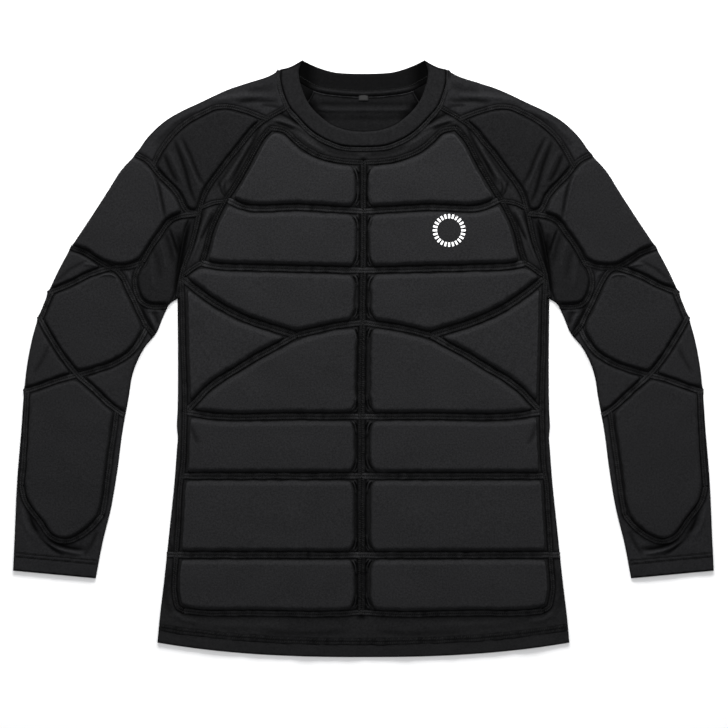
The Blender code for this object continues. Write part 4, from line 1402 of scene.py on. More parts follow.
def tube(upper, lower, faces, points, radius, gaps, shades):
    """A tube pressed flat, open at both ends; chains run fold, end, fold, end.

    Its faces are the top, the roof and the ground of the hollow, and the base. The gaps are
    that of both folds, and those of the ends of the upper and the lower half.
    """
    fold_gap, upper_ends, lower_ends = gaps
    shell = Shell(shades[0])
    halves = ((upper, upper_ends), (lower, lower_ends))
    layers = ((0, radius), (0, FOLD_WALL), (1, FOLD_WALL), (1, radius))
    sides = []
    for (which, gap), face, extra, shade in zip(layers, faces, points, shades):
        chains, (first, second) = halves[which]
        moved = inset(chains, (gap + fold_gap, first, gap + fold_gap, second))
        rim = shell.region(outline_of(moved), extra, face, shade)
        rim = np.append(rim, rim[0])
        starts = np.cumsum([0] + [len(chain) - 1 for chain in moved])
        sides.append([rim[a:b + 1] for a, b in zip(starts[:-1], starts[1:])])
    top_side, roof, ground, base = sides
    steps = 2 * EDGE_STEPS
    middle = (FRONT_FLOOR + BACK_CLOTH) / 2
    corners = {}
    shell.shade = shades[0]
    for fold in (0, 2):
        rows = [top_side[fold]]
        for step in range(1, steps):
            sine, cosine = roll(step, EDGE_STEPS)
            gap = radius * (1.0 - sine) + fold_gap
            share = step / steps
            line = 0.0
            for (chains, (first, second)), part in zip(halves, (1 - share, share)):
                line = line + part * inset(chains, (gap, first, gap, second))[fold]
            outer = faces[0](line) if cosine > 0 else faces[3](line)
            rows.append(shell.add(line, middle + (outer - middle) * abs(cosine)))
        rows.append(base[fold])
        for first, second in zip(rows[:-1], rows[1:]):
            shell.strip(first, second)
        shell.strip(roof[fold], ground[fold])
        corners[fold] = rows
    for end in (1, 3):
        shell.strip(top_side[end], roof[end])
        shell.strip(ground[end], base[end])
    for fold in (0, 2):
        for corner in (0, -1):
            column = [row[corner] for row in corners[fold]]
            shell.faces.append(column + [ground[fold][corner], roof[fold][corner]])
    return shell


def both(curves, names, hands=(-1, 1)):
    """The named curves on each side; those on the centre line only once."""
    found = []
    for name in names:
        for hand in hands[:1] if name == "centre" else hands:
            found.append(mirrored(simplify(curves[name]), hand))
    return found


def sewn(curves, names, hands=(-1, 1)):
    """The named seams on each side, each with its name."""
    return [(line, name) for name in names for line in both(curves, (name,), hands)]


def spanning(curves, name, step=RING_STEP):
    """A line from side to side over the centre, with even points."""
    return even(whole(curves[name]), step)


def neck_band(curves):
    """The middle of the stitched band just outside the collar, from side to side."""
    return offset(spanning(curves, "front_neck"), NECK_BAND)


def body_chains(curves, neck_name, seam_name):
    """Sides of a body panel: neck, seam, fold, hem, fold and seam."""
    start = meeting(curves[neck_name], curves[seam_name])[0]
    neck = even(curves[neck_name][start:], RING_STEP)
    seam = even(curves[seam_name], RING_STEP)
    fold = even(curves["side_fold"], RING_STEP)
    hem = even(curves["hem"], RING_STEP)
    chains = [
        whole(neck)[::-1], mirrored(seam, -1), mirrored(fold, -1), whole(hem), fold[::-1],
        seam[::-1]]
    return counter_clockwise(chains)


def tuck_points():
    """Close points beside every crossing of the centre seam."""
    found = []
    wide, tall = TUCK_BOX
    for up in CENTRE_CROSSINGS:
        box = np.array(((-wide, up - tall), (wide, up + tall)))
        found.append(grid(box, TUCK_GRID))
    return np.vstack(found)


def without_crowding(points, dense):
    """Points with the ones in the close boxes left out, and the close points added."""
    wide, tall = TUCK_BOX
    near = np.abs(points[:, 1:2] - np.array(CENTRE_CROSSINGS)).min(axis=1) < tall + TUCK_GRID
    keep = ~(near & (np.abs(points[:, 0]) < wide + TUCK_GRID))
    return np.vstack((points[keep], dense))


def make_front(curves, pads, skins):
    """The front panel of the body."""
    chains = body_chains(curves, "front_neck", "raglan")
    ring = outline_of(chains)
    band = offset(spanning(curves, "hem"), HEM_BAND[0])
    seams = sewn(curves, BODY_SEAMS) + [(neck_band(curves), "neck_band")]
    eases = (0.0, 0.0, -SIDE_EASE, -HEM_EASE, -SIDE_EASE, 0.0)
    # The face is painted darker as shade beside its seams, in its creases and along its free edges.
    face = Face("front", FRONT_TOP, (-1, 1), seams,
                [(whole(curves["hem"]), HEM_FOLD, HEM_FOLD_LIFT)],
                [(band, *HEM_BAND[1:])], [outline_of(inset(chains, eases))], seed=3)
    points = without_crowding(face_points(ring, pads, FINE_GRID), tuck_points())
    fold, free = (FOLD_RADIUS, SIDE_EASE), (EDGE_RADIUS, HEM_EASE)
    shell = plate(chains, (None, None, fold, free, fold, None), face.height, level(FRONT_FLOOR),
                  points, NO_POINTS, face.shade)
    cloth = shell.finish("front_cloth", skins["knit"], "front_cloth")
    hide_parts("front_body")
    return face


def level(height):
    """A plain face at one height."""
    return lambda points: np.full(len(points), height)


def make_back(curves, skins):
    """The back panel, which lies on the table; its inner face shows inside the neck."""
    chains = body_chains(curves, "back_neck", "back_raglan")
    ring = outline_of(chains)
    seams = sewn(curves, BACK_SEAMS)
    under = Face("back", 0.0, (-1, 1), seams, [(whole(curves["hem"]), HEM_FOLD, UNDER_HEM_LIFT)],
                 seed=5, sense=-1.0)
    # The inner face is painted darker as a whole, as the shade inside the neck, and darker still as
    # the painted shadow of the front lip.
    inner = Face("inside", BACK_CLOTH, (-1, 1), seams, edges=[spanning(curves, "front_lip")],
                 seed=6, tone=INSIDE_PAINTED_SHADE)
    seen = grid(ring, FINE_GRID)
    seen = seen[(seen[:, 1] > SEEN_INSIDE[1]) & (np.abs(seen[:, 0]) < SEEN_INSIDE[0])]
    fold, free = (EDGE_RADIUS, SIDE_EASE), (EDGE_RADIUS, HEM_EASE)
    shell = plate(
        chains, (None, None, fold, free, fold, None), under.height, inner_back(inner),
        face_points(ring, (), BACK_GRID), clear_of(seen, ring, FINE_GRID), inner.shade)
    cloth = shell.finish("back_cloth", skins["shaded_inside_knit"], "back_cloth")
    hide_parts("back_body")
    return inner


def inner_back(face):
    """The back's inner face: free inside the neck, flat under the front."""
    def height(points):
        free = soft_step(points[:, 1] - INSIDE_FROM, INSIDE_SOFTNESS)
        return BACK_CLOTH + free * (face.height(points) - BACK_CLOTH)
    return height


def sleeve_chains(curves):
    """Sides of the upper and the lower half of a sleeve: fold, cuff, fold and seam."""
    start = meeting(curves["front_neck"], curves["raglan"])[0]
    back_start = meeting(curves["back_neck"], curves["back_raglan"])[0]
    front_end = np.vstack((curves["raglan"][::-1], curves["front_neck"][:start][::-1]))
    back_end = np.vstack((curves["back_raglan"][::-1], curves["back_neck"][:back_start][::-1]))
    folds = [even(curves[key], RING_STEP) for key in ("sleeve_fold", "cuff", "underarm_fold")]
    return folds + [even(front_end, RING_STEP)], folds + [even(back_end, RING_STEP)]


def cuff_row(cuff, hand, gap):
    """A line along the cuff, a gap up the sleeve from its free edge."""
    return offset(even(cuff, RING_STEP)[::-hand], gap)


def make_sleeve(curves, pads, skins, hand):
    """One raglan sleeve, a flattened tube."""
    side = HANDS[hand]
    upper, lower = ([mirrored(chain, hand) for chain in chains] for chains in sleeve_chains(curves))
    if hand > 0:
        upper, lower = turned(upper), turned(lower)
    seams = sewn(curves, SLEEVE_SEAMS + ("raglan",), (hand,))
    cuff = mirrored(curves["cuff"], hand)
    eased = inset(upper, (-SLEEVE_EASE, -CUFF_EASE, -SLEEVE_EASE, 0.0))
    rows = [(cuff_row(cuff, hand, gap), half, dark) for gap, half, dark in CUFF_ROWS]
    top = Face("sleeve", FRONT_TOP, (hand,), seams, [(cuff, CUFF_FOLD, HEM_FOLD_LIFT)], rows,
               [outline_of(eased)], seed=7 + hand)
    base = Face("under", 0.0, (hand,), sewn(curves, ("back_raglan",), (hand,)),
                seed=9 + hand, sense=-1.0)
    ring, under_ring = outline_of(upper), outline_of(lower)
    ends = (-CUFF_EASE, SEAM_GAP / 2)
    # The hollow of the sleeve is painted nearly black, as shade.
    hollow = level(HOLLOW_PAINTED_SHADE)
    shell = tube(
        upper, lower, (top.height, level(FRONT_FLOOR), level(BACK_CLOTH), base.height),
        (face_points(ring, pads, FINE_GRID), NO_POINTS, NO_POINTS,
         face_points(under_ring, (), BACK_GRID)), FOLD_RADIUS, (-SLEEVE_EASE, ends, ends),
        (top.shade, hollow, hollow, level(1.0)))
    cloth = shell.finish("sleeve_cloth_" + side, skins["sleeve_knit_" + side], "sleeve_cloth")
    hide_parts("sleeve_" + side)
    return top


def rounded(points, lip, seam, reach):
    """Swell of a neck band: nought at its lip and its seam, and 1 beyond the reach."""
    near = np.minimum(nearest(points, lip, BAND_SIGHT)[0], nearest(points, seam, BAND_SIGHT)[0])
    return np.sqrt(1.0 - (1.0 - clamped(near / reach)) ** 2)


def collar_top(lip, seam):
    """Upper face of the front neck band: rounded at its lip and at its seam."""
    def height(points):
        soft = COLLAR_WAVE * unevenness(points, COLLAR_WAVE_SCALE, 31)
        swell = (COLLAR_CLOTH - COLLAR_EDGE) * rounded(points, lip, seam, COLLAR_ROUND)
        return FRONT_FLOOR + COLLAR_EDGE + swell + soft
    return height


def collar_inside(lip, seam):
    """Inner face of the back neck band, which shows inside the neck."""
    ridge = offset(seam, BACK_RIDGE[0])

    def height(points):
        free = clamped((BACK_BAND_END - np.abs(points[:, 0])) / BACK_BAND_FADE)
        rise = BACK_BAND_HEIGHT * rounded(points, lip, seam, BACK_BAND_ROUND)
        return BACK_CLOTH + free * (rise + folded(points, ridge, *BACK_RIDGE[1:]))
    return height


def collar_dusk(seam):
    """Painted shade inside the neck: nearly black in the corners, with a painted highlight on the
    ridge by the seam.
    """
    ridge = offset(seam, BACK_RIDGE[0])

    def shade(points):
        corner = clamped((np.abs(points[:, 0]) - DUSK_FROM) / DUSK_FADE)
        light = BACK_RIDGE_LIGHT * folded(points, ridge, 1.0, BACK_RIDGE[2])
        return (COLLAR_INSIDE_PAINTED_SHADE + light) * (1.0 - DUSK * corner)
    return shade


def make_collar(curves, skins):
    """The doubled neck band, a ring that lies folded flat at both shoulders."""
    fold = even(curves["collar_fold"], RING_STEP)
    front, back, front_lip, back_lip = (
        spanning(curves, key, COLLAR_STEP)
        for key in ("front_neck", "back_neck", "front_lip", "back_lip"))
    left_fold = mirrored(fold, -1)
    upper = [left_fold, front, fold[::-1], front_lip[::-1]]
    lower = [left_fold, back, fold[::-1], back_lip[::-1]]
    ring, under_ring = outline_of(upper), outline_of(lower)
    # The inner faces of the band are painted dark as the shade inside the neck.
    dusk = collar_dusk(back)
    top = Face("collar", 0.0, (-1, 1), [(front, "collar_seam")], edges=[fold, left_fold])
    shell = tube(
        upper, lower,
        (collar_top(front_lip, front), level(FRONT_FLOOR), collar_inside(back_lip, back),
         level(0.0)),
        (face_points(ring, (), COLLAR_STEP), NO_POINTS,
         face_points(under_ring, (), COLLAR_STEP), NO_POINTS), FOLD_RADIUS,
        (-COLLAR_EASE, (SEAM_GAP / 2, 0.0), (SEAM_GAP / 2, -COLLAR_EASE)),
        (top.shade, dusk, dusk, level(1.0)))
    cloth = shell.finish("collar_band", skins["collar_knit"], "collar_cloth")
    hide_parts("collar")
    around = (way_along(front)[-1] + way_along(back)[-1]) * MM


def make_tab(skins):
    """The bare woven tab in the back neck seam, with its two ends turned under."""
    wide, tall = (size / 2 for size in LABEL_SIZE)
    across = np.linspace(-wide, wide, LABEL_POINTS[0])
    down = np.linspace(-tall, tall, LABEL_POINTS[1])
    x, y = np.meshgrid(across, down)
    flat = np.column_stack((x.ravel(), y.ravel() + LABEL_UP))
    edge = np.minimum(wide - np.abs(x), tall - np.abs(y)).ravel()
    swell = LABEL_CLOTH * np.sqrt(np.clip(edge / LABEL_ROUND, 0.04, 1.0))
    bow = LABEL_BOW * (1.0 - (x.ravel() / wide) ** 2)
    shell = Shell(level(1.0))
    rims = []
    for heights in (FRONT_FLOOR + swell + bow, np.full(len(flat), FRONT_FLOOR - LABEL_SINK)):
        rows = shell.add(flat, heights).reshape(x.shape)
        for first, second in zip(rows[:-1], rows[1:]):
            shell.strip(first, second)
        rims.append(np.concatenate((rows[0], rows[1:, -1], rows[-1, -2::-1], rows[-2:0:-1, 0])))
    shell.band(*rims)
    tab = shell.finish("neck_tab", skins["tab_satin"], "label_cloth")
    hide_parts("neck_label")
    return tab


class Seam:
    """The line of a flat seam in space, with its upward and sideways directions."""

    def __init__(self, name, line, height, lift, folds, seed):
        flat = even(line, BRAID_STEP)
        points = np.column_stack((flat, height(flat) + lift))
        points = self.wrapped(points, folds)
        points = self.wrapped(points[::-1], folds)[::-1]
        run = np.gradient(points, axis=0)
        heading = run.copy()
        heading[:, 2] = 0.0
        heading[np.linalg.norm(heading, axis=1) < STEEP] = 0.0
        heading = self.filled(heading)
        run /= np.linalg.norm(run, axis=1)[:, None]
        self.side = np.column_stack((-heading[:, 1], heading[:, 0], np.zeros(len(heading))))
        self.up = np.cross(run, self.side)
        self.up /= np.linalg.norm(self.up, axis=1)[:, None]
        wander = BRAID_WANDER * unevenness(points[:, :2], BRAID_WANDER_SCALE, seed)
        number = np.arange(len(points))
        ends = clamped(np.minimum(number, number[::-1]) / BRAID_STEADY)
        self.points = points + self.side * (wander * ends)[:, None]
        self.half = half_of(name, self.points)
        # The light painted on the braid: less where it lies between pads, and uneven along it.
        self.lit = SEAM_LIGHT.get(name, 1.0) * (
            1.0 + LIGHT_WAVE * unevenness(self.points[:, :2], LIGHT_WAVE_SCALE, seed))

    @staticmethod
    def wrapped(points, folds):
        """Carry the start of a line over the folded edge that it meets."""
        start = points[0, :2]
        way = start - points[3, :2]
        way /= np.linalg.norm(way)
        reach = np.arange(*FOLD_SEARCH)
        line = start + reach[:, None] * way
        gaps = np.array([nearest(line, fold)[0] for fold in folds])
        if not len(gaps) or gaps.min() > FOLD_MEETS:
            return points
        edge = start + reach[np.argmin(gaps.min(axis=0))] * way
        gone = [(*(edge + way * past), z) for past, z in OVER_FOLD]
        kept = points[np.linalg.norm(points[:, :2] - edge, axis=1) > FOLD_KEEPS]
        return np.vstack((gone[::-1], kept))

    @staticmethod
    def filled(heading):
        """Directions of one length, with the missing ones taken from their neighbours."""
        size = np.linalg.norm(heading, axis=1)
        known = np.flatnonzero(size > 0)
        nearest_known = known[np.argmin(np.abs(np.arange(len(size))[:, None] - known), axis=1)]
        return heading[nearest_known] / size[nearest_known][:, None]


def swept_faces(first, count, ring):
    """Faces of a closed sweep: quads between its rings of points, and a cap at each end."""
    faces = [tuple(range(first, first + ring))[::-1]]
    for start in range(first, first + (count - 1) * ring, ring):
        for k in range(ring):
            n = (k + 1) % ring
            faces.append((start + k, start + n, start + ring + n, start + ring + k))
    faces.append(tuple(range(first + (count - 1) * ring, first + count * ring)))
    return faces


def make_braids(name, seams, high, material, low=BRAID_LOW):
    """Swept ridges over the seams, closed at their ends, in one piece, and never below low."""
    profile = np.array(BRAID_PROFILE)
    points, faces, shades = [], [], []
    for number, seam in enumerate(seams):
        count = len(seam.points)
        faces += swept_faces(len(points), count, len(profile))
        swell = 1.0 + BRAID_SWELL * unevenness(seam.points[:, :2], BRAID_SWELL_SCALE, 80 + number)
        swell[[0, -1]] *= BRAID_END
        for i in range(count):
            across = profile[:, :1] * seam.half[i] * swell[i]
            rise = profile[:, 1:2] * high * swell[i]
            ring = seam.points[i] + seam.side[i] * across + seam.up[i] * rise
            ring[:, 2] = np.maximum(ring[:, 2], low)
            points += ring.tolist()
            # Painted shade across the braid: dark at its feet, and less light where its seam is lit
            # less.
            shades += (profile[:, 2] * seam.lit[i]).tolist()
    return made(name, points, faces, material, shades)


def node(tree, kind, values=(), **settings):
    """A new node with its settings and the values of its own sockets."""
    new = tree.nodes.new(kind)
    for key, value in settings.items():
        setattr(new, key, value)
    for socket, value in dict(values).items():
        new.inputs[socket].default_value = value
    return new


def join(tree, *links):
    """Link sockets: each link is a node, its output, the next node and its input."""
    for source, output, target, entry in links:
        tree.links.new(source.outputs[output], target.inputs[entry])


def stitch_tree():
    """Geometry nodes that lay one stitch after another along a path."""
    tree = bpy.data.node_groups.new("stitches_along_seam", "GeometryNodeTree")
    for name, kind in STITCH_INPUTS.items():
        tree.interface.new_socket(name, in_out="INPUT", socket_type="NodeSocket" + kind)
    tree.interface.new_socket("Stitches", in_out="OUTPUT", socket_type="NodeSocketGeometry")
    given, result = node(tree, "NodeGroupInput"), node(tree, "NodeGroupOutput")
    curve = node(tree, "GeometryNodeMeshToCurve")
    spaced = node(tree, "GeometryNodeResampleCurve", mode="LENGTH")
    unit = node(tree, "GeometryNodeObjectInfo")
    tangent = node(tree, "GeometryNodeInputTangent")
    upward = node(tree, "GeometryNodeInputNamedAttribute", {"Name": "up"},
                  data_type="FLOAT_VECTOR")
    reach = node(tree, "GeometryNodeInputNamedAttribute", {"Name": "reach"}, data_type="FLOAT")
    spread = node(tree, "ShaderNodeCombineXYZ", {"X": 1.0, "Z": 1.0})
    fitted = node(tree, "ShaderNodeVectorMath", operation="MULTIPLY")
    turn = node(tree, "FunctionNodeAxesToRotation", primary_axis="X", secondary_axis="Z")
    size, askew = (
        node(tree, "FunctionNodeRandomValue", {0: low, 1: high}, data_type="FLOAT_VECTOR")
        for low, high in (STITCH_SIZES, STITCH_TURNS))
    tilt = node(tree, "FunctionNodeEulerToRotation")
    aimed = node(tree, "FunctionNodeRotateRotation", rotation_space="LOCAL")
    laid = node(tree, "GeometryNodeInstanceOnPoints")
    real = node(tree, "GeometryNodeRealizeInstances")
    dyed = node(tree, "GeometryNodeSetMaterial")
    join(
        tree,
        (given, "Path", curve, "Mesh"), (curve, "Curve", spaced, "Curve"),
        (given, "Pitch", spaced, "Length"), (given, "Stitch", unit, "Object"),
        (given, "Seed", size, "Seed"), (given, "Seed", askew, "Seed"),
        (tangent, "Tangent", turn, "Primary Axis"),
        (upward, "Attribute", turn, "Secondary Axis"),
        (spaced, "Curve", laid, "Points"), (unit, "Geometry", laid, "Instance"),
        (askew, 0, tilt, "Euler"), (turn, "Rotation", aimed, "Rotation"),
        (tilt, "Rotation", aimed, "Rotate By"), (aimed, "Rotation", laid, "Rotation"),
        (reach, "Attribute", spread, "Y"), (size, 0, fitted, 0), (spread, "Vector", fitted, 1),
        (fitted, "Vector", laid, "Scale"), (laid, "Instances", real, "Geometry"),
        (real, "Geometry", dyed, "Geometry"), (given, "Thread", dyed, "Material"),
        (dyed, "Geometry", result, "Stitches"))
    return tree


def thread_unit(name, runs, thick):
    """One stitch: short runs of four-sided thread, in its own frame with +X along the seam."""
    points, faces = [], []
    for run in runs:
        line = np.array(run, float)
        way = np.gradient(line, axis=0)
        way /= np.linalg.norm(way, axis=1)[:, None]
        side = np.cross(way, (0.0, 0.0, 1.0))
        side /= np.linalg.norm(side, axis=1)[:, None]
        top = np.cross(side, way)
        faces += swept_faces(len(points), len(line), len(THREAD_SECTION))
        for p, s, t in zip(line, side, top):
            points += [tuple((p + thick * (s * a + t * b)) * MM) for a, b in THREAD_SECTION]
    data = bpy.data.meshes.new(name)
    data.from_pydata(points, [], faces)
    return bpy.data.objects.new(name, data)


def make_stitches(name, tree, seams, stitch, lift, seed):
    """All stitches along some seams as one plain mesh."""
    unit, pitch, thread = stitch
    points, edges, ups, reaches, lights = [], [], [], [], []
    for seam in seams:
        first = len(points)
        points += (drifted(seam.points + seam.up * lift) * MM).tolist()
        ups += seam.up.tolist()
        reaches += (seam.half / STITCH_HALF).tolist()
        lights += seam.lit.tolist()
        edges += [(i, i + 1) for i in range(first, len(points) - 1)]
    data = bpy.data.meshes.new(name + "_path")
    data.from_pydata(points, edges, [])
    upward = data.attributes.new("up", "FLOAT_VECTOR", "POINT")
    upward.data.foreach_set("vector", np.array(ups, float).ravel())
    # The threads take the painted light of their seam as their shade.
    for label, numbers in (("reach", reaches), ("shade", lights)):
        column = data.attributes.new(label, "FLOAT", "POINT")
        column.data.foreach_set("value", np.array(numbers, float))
    path = placed(name + "_path", data)
    sewing = path.modifiers.new("stitches", "NODES")
    sewing.node_group = tree
    values = {"Pitch": pitch * MM, "Stitch": unit, "Thread": thread, "Seed": seed}
    for socket in tree.interface.items_tree:
        if socket.name in values:
            sewing[socket.identifier] = values[socket.name]
    bpy.context.view_layer.update()
    ready = path.evaluated_get(bpy.context.evaluated_depsgraph_get())
    mesh = bpy.data.meshes.new_from_object(ready)
    mesh.name = name
    path.modifiers.clear()
    bpy.data.objects.remove(path, do_unlink=True)
    mesh.shade_smooth()
    return worn(placed(name, mesh))


def make_seams(curves, faces, skins, tree):
    """Every flat seam with its stitches: the body's, each sleeve's and those inside the neck."""
    flatlock, cover = (
        (thread_unit(kind + "_stitch", runs, thick), pitch, skins[skin])
        for kind, (pitch, thick, skin, runs) in STITCHES.items())
    front, sleeves, inner = faces
    folds = both(curves, ("side_fold", "sleeve_fold", "underarm_fold"))
    braid = skins["braid"]
    body = []
    for number, name in enumerate(BODY_SEAMS):
        lift = CROSSING_LIFT * (number % 3)
        for hand in (1,) if name == "centre" else (-1, 1):
            line = mirrored(curves[name], hand)
            body.append(Seam(name, line, front.height, lift, folds, 200 + number * 3 + hand))
    make_braids("body_seams", body, BRAID_HEIGHT, braid)
    make_stitches("body_stitches", tree, body, flatlock, THREAD_LIFT, 1)
    for hand, side in HANDS.items():
        top = sleeves[side]
        arm = [
            Seam(name, mirrored(curves[name], hand), top.height, CROSSING_LIFT * (number % 3),
                 folds, 300 + number * 3 + hand)
            for number, name in enumerate(SLEEVE_SEAMS)]
        make_braids("sleeve_seams_" + side, arm, BRAID_HEIGHT, braid)
        make_stitches("sleeve_stitches_" + side, tree, arm, flatlock, THREAD_LIFT,
                      2 + hand)
        cuff = mirrored(curves["cuff"], hand)
        rows = [Seam("cuff_row", cuff_row(cuff, hand, gap), top.height, 0.0, (), 400 + hand)
                for gap, _, _ in CUFF_ROWS]
        make_stitches("cuff_stitches_" + side, tree, rows, cover, CUFF_THREAD_LIFT,
                      5 + hand)
    band = Seam("hem_band", offset(spanning(curves, "hem"), HEM_BAND[0]), front.height, 0.1, (),
                410)
    make_braids("hem_band", [band], HEM_BAND_HEIGHT, braid)
    make_stitches("hem_stitches", tree, [band], flatlock, HEM_BAND_HEIGHT, 8)
    band = Seam("neck_band", neck_band(curves), front.height, 0.2, (), 420)
    make_braids("neck_seam", [band], NECK_BAND_HEIGHT, braid)
    make_stitches("neck_stitches", tree, [band], flatlock, NECK_THREAD_LIFT, 9)
    back = spanning(curves, "back_neck")
    back = back[np.abs(back[:, 0]) < BACK_NECK_END]
    hidden = [Seam("back_neck", back, inner, 0.1, (), 422)]
    for hand in HANDS:
        raglan = mirrored(curves["back_raglan"], hand)
        raglan = raglan[raglan[:, 1] > BACK_RAGLAN_END]
        hidden.append(Seam("back_raglan", raglan, inner, 0.0, (), 423 + hand))
    make_braids("inside_seams", hidden, INSIDE_BRAID, braid, INSIDE_LOW)
    band_face = collar_inside(spanning(curves, "back_lip", COLLAR_STEP), back)
    row = Seam("back_row", offset(back, BACK_ROW), band_face, 0.0, (), 421)
    make_stitches("back_neck_stitches", tree, [row], cover, BACK_THREAD_LIFT,
                  10)


def make_print(pad, skins):
    """A thin white transfer: a plain ring of separate ticks that follows its pad."""
    points, faces = [], []
    for angle in np.arange(TICKS) * 2 * np.pi / TICKS:
        way = np.array((np.cos(angle), np.sin(angle)))
        side = np.array((-way[1], way[0])) * TICK_WIDTH / 2
        first = len(points)
        for reach in np.linspace(*TICK_REACH, 4):
            for edge in (-side, side):
                flat = np.array(TICK_RING) + way * reach + edge
                top = pad.top(flat[None])[0]
                points += [(*flat, top + TICK_RISE), (*flat, top - TICK_SINK)]
        for a in range(first, first + 12, 4):
            faces += [(a, a + 4, a + 6, a + 2), (a + 1, a + 3, a + 7, a + 5),
                      (a, a + 1, a + 5, a + 4), (a + 2, a + 6, a + 7, a + 3)]
        faces += [(first, first + 2, first + 3, first + 1),
                  (first + 12, first + 13, first + 15, first + 14)]
    made("chest_transfer", points, faces, skins["white_print"], smooth=False)


def blank(name, values):
    """A new material, its tree, and its shader with the values of its own sockets."""
    material = bpy.data.materials.new(name)
    material.use_nodes = True
    shader = material.node_tree.nodes["Principled BSDF"]
    for socket, value in values.items():
        shader.inputs[socket].default_value = value
    return material, material.node_tree, shader


def tones(tree, low, high):
    """A mix of two colours."""
    return node(tree, "ShaderNodeMix", {"A": (*low, 1.0), "B": (*high, 1.0)}, data_type="RGBA")


def knit(name, colour, roughness, gloss, sheen, depth, pitch):
    """A fine stretch knit: rows and columns of loops, a grainy colour and slow mottling."""
    material, tree, shader = blank(name, {
        "Specular IOR Level": gloss, "Sheen Weight": sheen, "Sheen Roughness": SHEEN_ROUGHNESS})
    place = node(tree, "ShaderNodeTexCoord")
    turn = node(tree, "ShaderNodeMapping", {"Rotation": (0.0, 0.0, KNIT_TURN.get(name, 0.0))})
    rows, columns = (
        node(tree, "ShaderNodeTexWave",
             {"Scale": np.pi / 10 / (pitch * stretch * MM), "Distortion": 1.2, "Detail": 1.0},
             bands_direction=axis)
        for axis, stretch in LOOPS.items())
    loops = node(tree, "ShaderNodeMath", operation="MULTIPLY")
    grain = node(tree, "ShaderNodeTexNoise", {"Scale": GRAIN_SCALE, "Detail": 3.0})
    mottle = node(tree, "ShaderNodeTexNoise", {"Scale": MOTTLE_SCALE, "Detail": 4.0})
    tone = tones(tree, *[[fleck * c for c in colour] for fleck in FLECKS])
    fleck = node(tree, "ShaderNodeMapRange", {"From Min": 0.3, "From Max": 0.7})
    blend = node(tree, "ShaderNodeMath", {1: GRAIN_SHARE}, operation="MULTIPLY_ADD")
    slow = node(tree, "ShaderNodeMath", {1: MOTTLE_SHARE}, operation="MULTIPLY")
    rough = node(tree, "ShaderNodeMapRange",
                 {"To Min": roughness - ROUGH_SPREAD, "To Max": roughness + ROUGH_SPREAD})
    coarse = node(tree, "ShaderNodeBump", {"Strength": 0.25, "Distance": COARSE_BUMP * MM})
    fine = node(tree, "ShaderNodeBump", {"Strength": 0.7, "Distance": depth * MM})
    # The base colour is multiplied by the painted shade of each point.
    join(
        tree,
        (place, "Object", turn, "Vector"),
        (turn, "Vector", rows, "Vector"), (turn, "Vector", columns, "Vector"),
        (rows, "Fac", loops, 0), (columns, "Fac", loops, 1),
        (turn, "Vector", grain, "Vector"), (turn, "Vector", mottle, "Vector"),
        (grain, "Fac", fleck, "Value"), (mottle, "Fac", slow, 0),
        (fleck, "Result", blend, 0), (slow, "Value", blend, 2),
        (blend, "Value", tone, "Factor"),
        (shaded(tree, tone), "Vector", shader, "Base Color"),
        (mottle, "Fac", rough, "Value"), (rough, "Result", shader, "Roughness"),
        (grain, "Fac", coarse, "Height"), (loops, "Value", fine, "Height"),
        (coarse, "Normal", fine, "Normal"), (fine, "Normal", shader, "Normal"))
    return material


def shaded(tree, tone):
    """The colour of a mix multiplied by the painted shade of each point: darker in the grooves of
    the seams, in troughs and at edges, lighter on ridges.
    """
    groove = node(tree, "ShaderNodeAttribute", attribute_name="shade")
    share = node(tree, "ShaderNodeMapRange", {"To Min": GROOVE_TONE}, clamp=False)
    dark = node(tree, "ShaderNodeVectorMath", operation="SCALE")
    join(tree, (groove, "Fac", share, "Value"), (tone, "Result", dark, 0),
         (share, "Result", dark, "Scale"))
    return dark


def plain(name, low, high, roughness, gloss, scale, depth, dusky):
    """A finish whose grey and surface vary with a fine grain; a dusky one takes the painted shade.
    """
    material, tree, shader = blank(name, {"Roughness": roughness, "Specular IOR Level": gloss})
    place = node(tree, "ShaderNodeTexCoord")
    grain = node(tree, "ShaderNodeTexNoise", {"Scale": scale, "Detail": 3.0})
    tone = tones(tree, (low,) * 3, (high,) * 3)
    bump = node(tree, "ShaderNodeBump", {"Strength": 0.5, "Distance": depth * MM})
    colour = (shaded(tree, tone), "Vector") if dusky else (tone, "Result")
    join(
        tree,
        (place, "Object", grain, "Vector"), (grain, "Fac", tone, "Factor"),
        (*colour, shader, "Base Color"), (grain, "Fac", bump, "Height"),
        (bump, "Normal", shader, "Normal"))
    return material


def make_skins():
    """Every finish by name."""
    skins = {name: knit(name, *values) for name, values in FINISHES.items()}
    skins.update((name, plain(name, *values)) for name, values in PLAIN_FINISHES.items())
    return skins


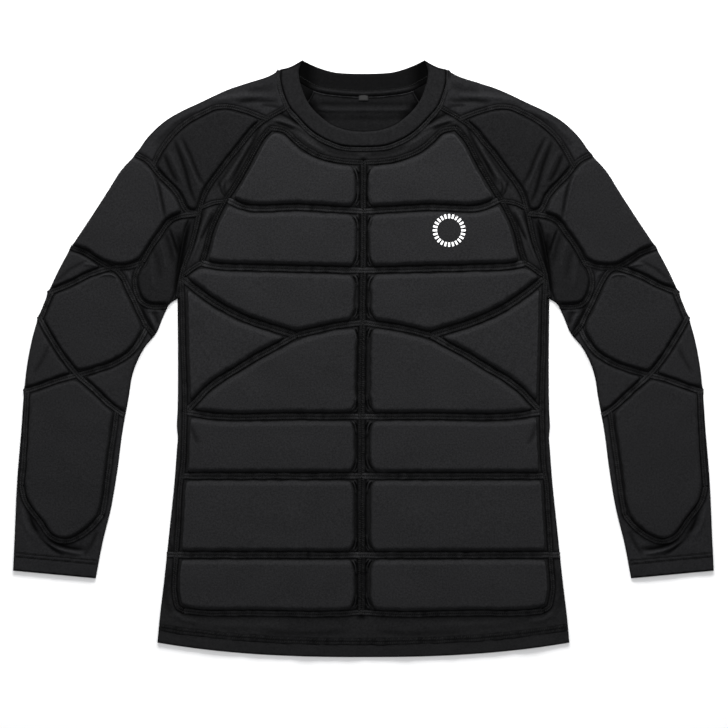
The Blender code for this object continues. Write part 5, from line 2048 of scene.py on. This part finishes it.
def make_stage(skins):
    """Floor, lights and sky."""
    size = FLOOR_HALF
    data = bpy.data.meshes.new("floor")
    corners = ((-size, -size), (size, -size), (size, size), (-size, size))
    data.from_pydata([(*corner, FLOOR_DROP) for corner in corners], [], [(0, 1, 2, 3)])
    data.materials.append(skins["floor_paper"])
    placed("floor", data)
    for name, (place, target, spread, power) in LIGHTS.items():
        light = bpy.data.lights.new(name, "AREA")
        light.shape = "RECTANGLE"
        light.size, light.size_y = spread
        light.energy = power
        way = Vector(target) - Vector(place)
        lamp = placed(name, light)
        lamp.location = place
        lamp.rotation_euler = way.to_track_quat("-Z", "Y").to_euler()
    world = bpy.data.worlds.new("studio")
    world.use_nodes = True
    sky = world.node_tree.nodes["Background"]
    sky.inputs["Color"].default_value = (*WORLD[0], 1.0)
    sky.inputs["Strength"].default_value = WORLD[1]
    bpy.context.scene.world = world
    bpy.context.scene.view_settings.view_transform = "Standard"


def make_camera():
    """A long lens straight above, which keeps the shirt's outline true."""
    lens = bpy.data.cameras.new("camera")
    lens.lens = LENS
    lens.sensor_width = SENSOR
    camera = placed("camera", lens)
    camera.location = (*CAMERA_PLACE, SIGHT_PLANE + FRAME_WIDTH * LENS / SENSOR)
    bpy.context.scene.camera = camera


def make_pads(curves, skins):
    """All the foam pads, by name and side."""
    pads = {}
    for number, (name, (kind, *_)) in enumerate(PADS.items()):
        for hand, side in HANDS.items():
            pad = Pad(curves, name, hand, 500 + 4 * number + hand)
            slot = "front_cloth" if kind == "front_body" else "sleeve_cloth"
            piece = pad.make(skins[PAD_SKINS.get(name, "pad_knit")], slot)
            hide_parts(kind if kind == "front_body" else "sleeve_" + side)
            pads[name, side] = pad
    return pads


def main():
    """Build every piece of the scene."""
    curves = smooth_curves()
    skins = make_skins()
    make_camera()
    make_stage(skins)
    pads = make_pads(curves, skins)
    body_pads = [pad for pad in pads.values() if pad.kind == "front_body"]
    tab = make_tab(skins)
    front = make_front(curves, body_pads, skins)
    inner = make_back(curves, skins)
    sleeves = {}
    for hand, side in HANDS.items():
        arm_pads = [pad for pad in pads.values() if pad.hand == hand and pad.kind == "sleeve"]
        sleeves[side] = make_sleeve(curves, arm_pads, skins, hand)
    make_collar(curves, skins)
    make_seams(curves, (front, sleeves, inner.height), skins, stitch_tree())
    make_print(pads["chest_lower", "left"], skins)


main()
